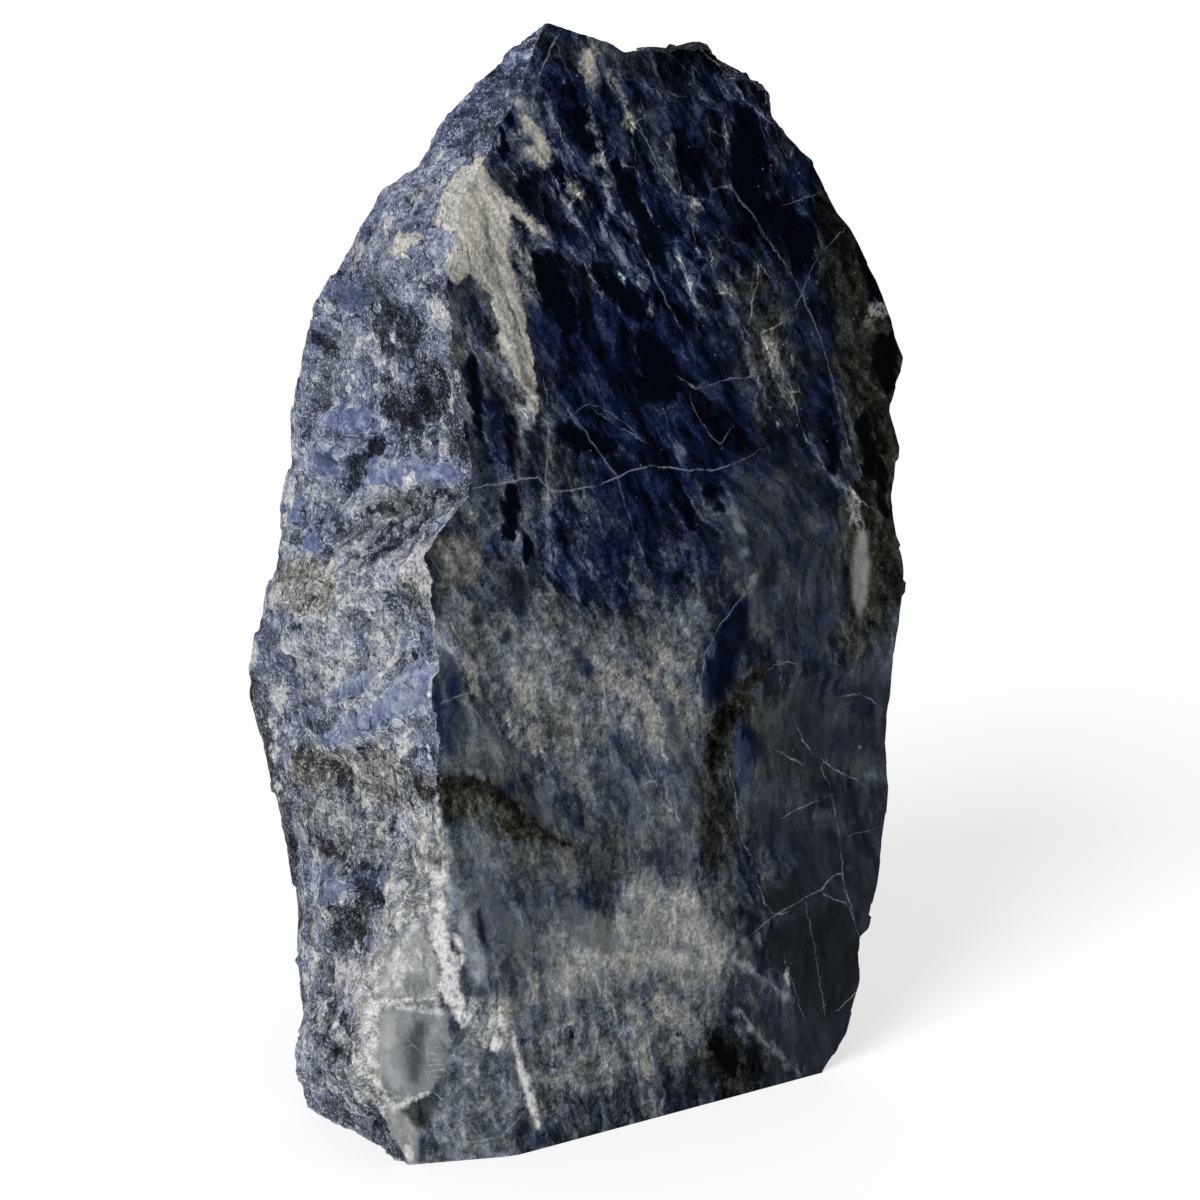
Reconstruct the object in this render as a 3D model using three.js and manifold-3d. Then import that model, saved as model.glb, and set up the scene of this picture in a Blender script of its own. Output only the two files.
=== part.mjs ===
// Rough sodalite: a tall broken block that stands on a sawn foot, with one sawn and honed face.
// Units are millimetres, +Z is up. The honed face looks along -Y and the broken sides follow it round.
// The block is one solid. It is lofted rough, a little too large, and then sawn flat like the real one.
import * as THREE from "three";
import { mergeVertices } from "three/addons/utils/BufferGeometryUtils.js";
import Module from "manifold-3d";

// Driving dimensions. While it is made, x = 0 is where the two saw cuts and the foot meet.
const GRAIN_STEP = 4.4; // spacing of the surface points
const SAW_ALLOWANCE = 9; // rough stone in front of the honed face, removed by the saw
const CREST_DIP = 2; // how far the middle of the crest lies below its two ends
const SAW_BLOCK = 600; // edge of the block that stands for a saw cut's waste
const POINTS_ALONG = { left: 19, back: 24, right: 12, front: 5 }; // points along each side of a belt

// The three saw cuts: a point on each flat face and the way that the face looks.
const SAW_CUTS = {
  honedFace: { at: [0, 0, 0], facing: [0, -1, 0] },
  honedCorner: { at: [0, 0, 0], facing: [-0.322, -0.945, -0.06] },
  foot: { at: [0, 0, 0], facing: [0, 0, -1] },
};

// The ridges that run up the block, as [belt, x, y, z]. A belt is one turn round the stone, and the belts
// between two points of a ridge are spaced evenly. Belts 3 and 4 hold the notch low on the right,
// 11 and 12 the ledge on the left, and 17 to 20 close in on the crest.
const FRONT_LEFT = [
  [0, -21, 7.7, -8],
  [1, -26.3, 8.4, 9],
  [2, -32, 9.7, 19],
  [3, -34.6, 9.6, 33.5],
  [5, -29.6, 7.1, 47],
  [6, -27.5, 5.6, 60],
  [7, -19, 1.6, 77],
  [8, -16.7, 0, 90],
  [10, -16.8, 0, 129.5],
  [11, -18.8, 0, 144],
  [12, -7.6, 0, 157],
  [13, -8.3, 0, 167],
  [15, -12.6, 0, 199],
  [17, -9.4, 0, 217],
  [18, -3, 0, 226],
  [19, 3.8, 0, 236.5],
  [20, 9.4, 0, 250],
];
const FRONT_RIGHT = [
  [0, 76, 0, -8],
  [1, 89.5, 0, 9],
  [2, 92.5, 0, 22],
  [3, 91.3, 0, 34],
  [4, 93.9, 0, 35.2],
  [5, 96.8, 0, 48.7],
  [7, 98.6, 0, 74],
  [8, 97.4, 0, 82],
  [10, 100.7, 0, 123],
  [11, 97.3, 0, 141],
  [12, 99.2, 0, 152.5],
  [13, 95.3, 0, 161.5],
  [14, 98.6, 0, 173],
  [15, 90.3, 0, 191],
  [16, 79.8, 0, 207],
  [17, 72.4, 0, 218.4],
  [18, 60.1, 0, 227.2],
  [19, 52, 0, 235.5],
  [20, 45.5, 0, 242.3],
];
const BACK_LEFT = [
  [0, -32, 42, -8],
  [1, -34.5, 47, 8],
  [2, -34, 48, 14],
  [3, -30.4, 49, 21],
  [5, -30.4, 53, 34],
  [6, -28.6, 57, 44],
  [7, -28.4, 62, 57],
  [9, -31.6, 74, 92],
  [10, -30, 73, 106],
  [12, -25.3, 69, 125.5],
  [13, -22.3, 68.5, 143],
  [14, -21.8, 63, 165],
  [15, -20, 52, 187],
  [16, -18, 41, 198],
  [17, -14.4, 27, 214.5],
  [18, -10.8, 19, 219],
  [19, -4.6, 15, 231],
  [20, 5, 5, 245],
];
const BACK_MIDDLE = [
  [0, 22, 56, -8],
  [5, 24, 70, 45],
  [9, 28, 80, 97],
  [12, 30, 76, 137],
  [14, 32, 66, 169],
  [15, 32, 55, 189],
  [17, 30, 34, 216],
  [19, 27, 19, 234],
  [20, 26, 7, 240.5],
];
const BACK_RIGHT = [
  [0, 66, 38, -8],
  [1, 78, 42, 9],
  [5, 86, 46, 47],
  [9, 89, 49, 104],
  [12, 88, 46, 148],
  [14, 86, 38, 171],
  [15, 83, 28, 190],
  [16, 80, 21, 204],
  [17, 76, 14, 216],
  [18, 70, 13, 228],
  [19, 62.5, 12, 236],
  [20, 47, 6, 243],
];

const CREST = FRONT_LEFT.at(-1)[0]; // the top belt

// Broad fractures across the back and the right side: a point on each and the way that it looks.
const FRACTURES = [
  { at: [-28.4, 63, 57], facing: [-0.2, 0.93, -0.3] },
  { at: [-22, 67.5, 150], facing: [-0.12, 0.93, 0.34] },
  { at: [4, 75, 96], facing: [0.12, 0.99, 0.04] },
  { at: [34, 70, 56], facing: [0.2, 0.93, -0.32] },
  { at: [56, 63, 108], facing: [0.44, 0.9, 0.05] },
  { at: [36, 57, 182], facing: [0.1, 0.82, 0.56] },
  { at: [60, 50, 184], facing: [0.38, 0.76, 0.53] },
  { at: [95, 24, 118], facing: [0.96, 0.27, 0.05] },
  { at: [87, 34, 22], facing: [0.86, 0.36, -0.36] },
  { at: [87, 27, 186], facing: [0.7, 0.55, 0.45] },
];

// Ledges on the left side: the edge of a raised flake from one [y, z] to another, how far the flake
// stands out above or below that line, and how wide it is.
const FLAKES = [
  { from: [2, 112], to: [42, 86], height: 1.9, reach: 17, side: +1 },
  { from: [18, 170], to: [32, 151], height: 1.7, reach: 13, side: -1 },
  { from: [26, 166], to: [56, 150], height: 1.5, reach: 12, side: +1 },
  { from: [8, 64], to: [34, 50], height: 1.8, reach: 15, side: +1 },
  { from: [30, 62], to: [52, 42], height: 1.6, reach: 12, side: -1 },
  { from: [12, 24], to: [40, 30], height: 2.2, reach: 16, side: -1 },
  { from: [6, 206], to: [24, 196], height: 1.4, reach: 12, side: +1 },
  { from: [20, 134], to: [58, 112], height: 1.3, reach: 10, side: -1 },
];

// Hackly breakage on every broken side: the size of its facets and how far they stand out.
const BREAKAGE = [
  { size: 27, height: 2.8, seed: 3 },
  { size: 12, height: 1.1, seed: 17 },
];
const SWELL = { size: 46, height: 1.7, seed: 29 };

// A repeatable number from 0 to 1 for a lattice cell.
function cellNumber(i, j, k, seed) {
  const n = Math.sin(i * 127.1 + j * 311.7 + k * 74.7 + seed * 53.3) * 43758.5453;
  return n - Math.floor(n);
}

// Flat facets that meet in steps: each cell of the stone breaks along its own tilted plane.
function breakage(point, { size, height, seed }) {
  const [px, py, pz] = point.toArray().map((v) => v / size);
  let nearest = Infinity;
  let level = 0;
  for (let i = Math.floor(px) - 1; i <= Math.floor(px) + 1; i++)
    for (let j = Math.floor(py) - 1; j <= Math.floor(py) + 1; j++)
      for (let k = Math.floor(pz) - 1; k <= Math.floor(pz) + 1; k++) {
        const dx = px - i - cellNumber(i, j, k, seed);
        const dy = py - j - cellNumber(i, j, k, seed + 1);
        const dz = pz - k - cellNumber(i, j, k, seed + 2);
        const distance = dx * dx + dy * dy + dz * dz;
        if (distance >= nearest) continue;
        nearest = distance;
        const tilt = [4, 5, 6].map((more) => 2 * cellNumber(i, j, k, seed + more) - 1);
        level = 0.5 * (2 * cellNumber(i, j, k, seed + 7) - 1) + dx * tilt[0] + dy * tilt[1] + dz * tilt[2];
      }
  return height * THREE.MathUtils.clamp(level, -1, 1);
}

// A slow swell, from numbers at the corners of each cell.
function swell(point, { size, height, seed }) {
  const [px, py, pz] = point.toArray().map((v) => v / size);
  const [i, j, k] = [px, py, pz].map(Math.floor);
  const [u, v, w] = [px - i, py - j, pz - k].map((t) => THREE.MathUtils.smoothstep(t, 0, 1));
  let sum = 0;
  for (const [a, b, c] of [0, 1, 2, 3, 4, 5, 6, 7].map((n) => [n & 1, (n >> 1) & 1, n >> 2]))
    sum += (a ? u : 1 - u) * (b ? v : 1 - v) * (c ? w : 1 - w) * cellNumber(i + a, j + b, k + c, seed);
  return height * (2 * sum - 1);
}

// How far a flake stands out at a point of the left side.
function flake(point, { from, to, height, reach, side }) {
  const along = new THREE.Vector2(to[0] - from[0], to[1] - from[1]);
  const length = along.length();
  along.divideScalar(length);
  const offset = new THREE.Vector2(point.y - from[0], point.z - from[1]);
  const across = side * (along.x * offset.y - along.y * offset.x);
  const run = offset.dot(along);
  const edge = THREE.MathUtils.smoothstep(across, -1.5, 1.5);
  const fade = 1 - THREE.MathUtils.smoothstep(across, 0.3 * reach, reach);
  const start = THREE.MathUtils.smoothstep(run, -6, 4);
  const end = 1 - THREE.MathUtils.smoothstep(run, length - 4, length + 6);
  return height * edge * fade * start * end;
}

// The point of a ridge at a belt, whole or between two.
function ridgeAt(ridge, belt) {
  const next = Math.max(1, ridge.findIndex((point) => point[0] >= belt));
  const [before, after] = [ridge[next - 1], ridge[next]];
  const share = (belt - before[0]) / (after[0] - before[0]);
  return new THREE.Vector3(...before.slice(1)).lerp(new THREE.Vector3(...after.slice(1)), share);
}

// One belt as a list of { point, side, share }, from the front left round the back to the front right.
function beltPoints(belt) {
  const [left, right] = [ridgeAt(FRONT_LEFT, belt), ridgeAt(FRONT_RIGHT, belt)];
  const [backLeft, backMiddle, backRight] = [BACK_LEFT, BACK_MIDDLE, BACK_RIGHT].map((r) => ridgeAt(r, belt));
  const forward = (corner, behind) => {
    const run = corner.clone().sub(behind);
    return run.multiplyScalar(SAW_ALLOWANCE / Math.hypot(run.x, run.y)).add(corner);
  };
  const [frontLeft, frontRight] = [forward(left, backLeft), forward(right, backRight)];
  const back = new THREE.QuadraticBezierCurve3(
    backLeft,
    backMiddle.clone().multiplyScalar(2).sub(backLeft.clone().add(backRight).multiplyScalar(0.5)),
    backRight,
  );
  const sides = {
    left: new THREE.LineCurve3(frontLeft, backLeft),
    back,
    right: new THREE.LineCurve3(backRight, frontRight),
    front: new THREE.LineCurve3(frontRight, frontLeft),
  };
  return Object.entries(sides).flatMap(([side, curve]) =>
    Array.from({ length: POINTS_ALONG[side] }, (_, n) => {
      const share = n / POINTS_ALONG[side];
      return { side, share, point: curve.getPoint(share) };
    }),
  );
}

// The belts that carry points: every whole belt, and as many between two as the grain step asks for.
function beltRows() {
  const rows = [];
  for (let belt = 0; belt < CREST; belt++) {
    const rise = [FRONT_LEFT, FRONT_RIGHT, BACK_LEFT].map((r) => ridgeAt(r, belt + 1).z - ridgeAt(r, belt).z);
    const count = Math.max(1, Math.round(Math.max(...rise) / GRAIN_STEP));
    for (let n = 0; n < count; n++) rows.push(belt + n / count);
  }
  return [...rows, CREST];
}

// The rough block: a cylinder's closed mesh, with each of its points moved to its place on a belt. The two
// points that close its ends lie in the middle of the first and the last belt.
function roughBlock() {
  const rows = beltRows().map(beltPoints);
  const around = rows[0].length;
  const cylinder = new THREE.CylinderGeometry(1, 1, 1, around, rows.length - 1);
  cylinder.deleteAttribute("normal");
  cylinder.deleteAttribute("uv");
  const block = mergeVertices(cylinder, 1e-5);
  const position = block.getAttribute("position");
  const places = [];
  for (let n = 0; n < position.count; n++) {
    const [x, y, z] = [position.getX(n), position.getY(n), position.getZ(n)];
    const row = rows[Math.round((y + 0.5) * (rows.length - 1))];
    if (Math.hypot(x, z) < 0.5) {
      const middle = new THREE.Vector3(0, 0, -CREST_DIP);
      row.forEach(({ point }) => middle.addScaledVector(point, 1 / around));
      position.setXYZ(n, ...middle);
      places.push({ side: "front" });
      continue;
    }
    const turn = Math.atan2(x, z) / (2 * Math.PI);
    const place = row[(around - Math.round(turn * around)) % around];
    position.setXYZ(n, ...place.point);
    places.push(place);
  }
  return { block, places };
}

// How freely the stone broke at a place: least at its outer edges, which keep their line.
function freedom({ side, share }, y) {
  const fromFront = THREE.MathUtils.smoothstep(y, 0, 14);
  const fromRidge = { left: 1 - share, back: share, right: 1 }[side];
  return 0.3 + 0.7 * Math.min(fromFront, THREE.MathUtils.smoothstep(fromRidge, 0, 0.16));
}

// Cuts the back and the right side down to the broad fractures.
function fracture({ block, places }) {
  const planes = FRACTURES.map(({ at, facing }) => {
    const outward = new THREE.Vector3(...facing).normalize();
    return new THREE.Plane().setFromNormalAndCoplanarPoint(outward, new THREE.Vector3(...at));
  });
  const position = block.getAttribute("position");
  const point = new THREE.Vector3();
  places.forEach(({ side }, n) => {
    if (side !== "back" && side !== "right") return;
    point.fromBufferAttribute(position, n);
    for (const plane of planes) {
      const beyond = Math.max(0, plane.distanceToPoint(point));
      point.addScaledVector(plane.normal, -beyond);
    }
    position.setXYZ(n, ...point);
  });
}

// Raises and lowers the broken sides by their flakes, facets and swell.
function roughen({ block, places }) {
  block.computeVertexNormals();
  const position = block.getAttribute("position");
  const point = new THREE.Vector3();
  const normal = new THREE.Vector3();
  places.forEach((place, n) => {
    if (place.side === "front") return;
    point.fromBufferAttribute(position, n);
    normal.fromBufferAttribute(block.getAttribute("normal"), n);
    const onLeft = place.side === "left";
    let height = (onLeft ? 0.3 : 1) * swell(point, SWELL);
    for (const facets of BREAKAGE) height += (onLeft ? 0.6 : 1) * breakage(point, facets);
    height *= freedom(place, point.y);
    if (onLeft) for (const one of FLAKES) height += flake(point, one);
    position.setXYZ(n, ...point.addScaledVector(normal, height));
  });
  block.deleteAttribute("normal");
}

const wasm = await Module();
wasm.setup();

// A closed mesh as a solid that can be cut.
function solid(geometry) {
  const merged = mergeVertices(geometry, 1e-4);
  return new wasm.Manifold(
    new wasm.Mesh({
      numProp: 3,
      vertProperties: new Float32Array(merged.getAttribute("position").array),
      triVerts: new Uint32Array(merged.index.array),
    }),
  );
}

// The waste of a saw cut: a block whose one face is the cut.
function waste({ at, facing }) {
  const outward = new THREE.Vector3(...facing).normalize();
  const box = new THREE.BoxGeometry(SAW_BLOCK, SAW_BLOCK, SAW_BLOCK);
  box.deleteAttribute("normal");
  box.deleteAttribute("uv");
  box.translate(0, 0, SAW_BLOCK / 2);
  box.applyQuaternion(new THREE.Quaternion().setFromUnitVectors(new THREE.Vector3(0, 0, 1), outward));
  return box.translate(...at);
}

// The sawn block, with its origin at the middle of its foot.
function sodalite() {
  const rough = roughBlock();
  fracture(rough);
  roughen(rough);
  let stone = solid(rough.block);
  for (const cut of Object.values(SAW_CUTS)) stone = stone.subtract(solid(waste(cut)));
  const { vertProperties, triVerts } = stone.getMesh();
  const geometry = new THREE.BufferGeometry()
    .setAttribute("position", new THREE.BufferAttribute(vertProperties, 3))
    .setIndex(new THREE.BufferAttribute(triVerts, 1));
  geometry.computeBoundingBox();
  const middle = geometry.boundingBox.getCenter(new THREE.Vector3());
  geometry.translate(-middle.x, -middle.y, 0);
  const material = new THREE.MeshStandardMaterial({ color: 0x3a4468, roughness: 0.6, metalness: 0 });
  const mesh = new THREE.Mesh(geometry, material);
  mesh.name = "sodalite";
  return mesh;
}

const part = new THREE.Group();
part.add(sodalite());

export default part;
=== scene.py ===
"""Rough sodalite: an upright block with a honed front, a honed corner, broken sides and a sawn foot.

The block is measured in millimetres from its front corner, where the honed face, the honed corner and the
foot meet: x runs right along the honed face, y goes back into the stone, z goes up. A place on the honed
face is given as (x, z) and a place on the left broken side as (y, z).
"""
import math
from types import SimpleNamespace

import bpy
import numpy as np
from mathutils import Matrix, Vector, kdtree


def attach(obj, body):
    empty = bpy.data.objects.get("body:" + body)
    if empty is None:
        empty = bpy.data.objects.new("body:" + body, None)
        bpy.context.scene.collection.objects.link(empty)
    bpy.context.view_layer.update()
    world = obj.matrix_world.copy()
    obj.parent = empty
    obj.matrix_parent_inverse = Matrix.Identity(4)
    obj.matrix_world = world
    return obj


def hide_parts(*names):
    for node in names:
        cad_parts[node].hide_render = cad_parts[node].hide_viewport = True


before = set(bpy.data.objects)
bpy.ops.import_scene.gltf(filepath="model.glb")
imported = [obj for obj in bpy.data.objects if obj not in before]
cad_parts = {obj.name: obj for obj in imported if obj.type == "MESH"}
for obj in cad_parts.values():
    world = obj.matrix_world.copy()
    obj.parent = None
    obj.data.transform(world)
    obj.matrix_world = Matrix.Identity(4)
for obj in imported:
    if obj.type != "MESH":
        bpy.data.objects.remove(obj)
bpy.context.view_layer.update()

MM = 0.001
FRONT_CORNER = np.array([-32.4946, -38.9508, 0.0])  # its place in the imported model, in mm

# The honed corner leans back from the honed face: how far for each mm to the left, and for each mm up.
CORNER_BACK = 0.3407
CORNER_RISE = 0.0632
CORNER_EASE = 0.35  # mm over which the honed face turns into the honed corner

SAW_MARGIN = 6.0  # stone added in front of each sawn face before it is sawn again
SAW_LEFT, SAW_WIDE, SAW_TALL, SAW_DEEP = -42.0, 150.0, 262.0, 120.0  # the block that the saw leaves
SKIN = 0.85  # size of the faces on the broken sides
HONE_GRID = 1.0  # size of the faces on the honed face
SOFTENING = 5  # rounds of smoothing before the skin is broken
FAR_SHARE = 0.68  # faces kept where the ground changes slowly
SHARP = math.radians(20)  # two faces that turn more than this meet in an edge

# The lay, the leaning sheets of the stone: how much they lean low down and high up, and where that changes.
LOW_LEAN, HIGH_LEAN = 0.139, 0.434
LEAN_CHANGE = (70.0, 150.0)

FAR = 60.0  # mm, further than any mark reaches
DEEP = 5.0  # mm, the deepest that a mark's depth is kept
BROKEN, HONED, SAWN = range(3)  # the finishes, in the order of the materials

# The camera, and the light from the window.
LENS, SENSOR, TILT, TURN = 78.0, 36.0, 18.0, -28.285
CAMERA_PLACE = np.array([-228.68, -465.37, 300.02])
WINDOW_PLACE, WINDOW_STRENGTH, WINDOW_SPREAD = (-1.6, -0.75, 1.3), 2.5, 28.0
ROOM_SEEN, ROOM_LIGHT, ROOM_REFLECTED = 1.0, 0.58, 0.44
FLOOR_GREY, FLOOR_GLOW, FLOOR_SIZE = (0.45, 0.45, 0.452, 1), 0.56, 8.0


# ---------------------------------------------------------------- what lies where on the honed face
# The part of the honed corner that broke again, and the smooth window that is left in it, with its ladder.
CORNER_BROKEN = [[(-17.2, 104), (-17.8, 86), (-18.2, 66), (-19.2, 62), (-24.7, 58.5), (-28.6, 52), (-29.2, 43.1),
    (-24, 42.6), (-17, 42.8), (-18, 41), (-28, 41.6), (-29.4, 36), (-29.6, 28), (-28, 21), (-25.5, 16), (-27.5, 14.5),
    (-24.5, -5), (-60, -5), (-60, 104)]]
CORNER_WINDOW = [[(-27.5, 40.5), (-25.1, 40.5), (-23, 39.6), (-20.5, 38.8), (-16.2, 38.2), (-15.4, 31.4),
    (-15.2, 26.3), (-16.2, 20.8), (-17.5, 18.9), (-20.4, 17.1), (-24.2, 17.5), (-27.1, 20.9), (-28.6, 25.1),
    (-28.9, 30.2), (-28.6, 36.6)]]
CORNER_LADDER = [[(-19, 37), (-15.6, 32), (-15, 21), (-18.6, 23)]]
CREST_KNOB = [(57.2, 233.6, 2.5), (61, 230.2, 1.5)]  # a knob on the right shoulder
CREST_DENT = [(50.6, 239.4, 0.8), (52.8, 237.8, 1)]  # the dip beside it

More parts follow.
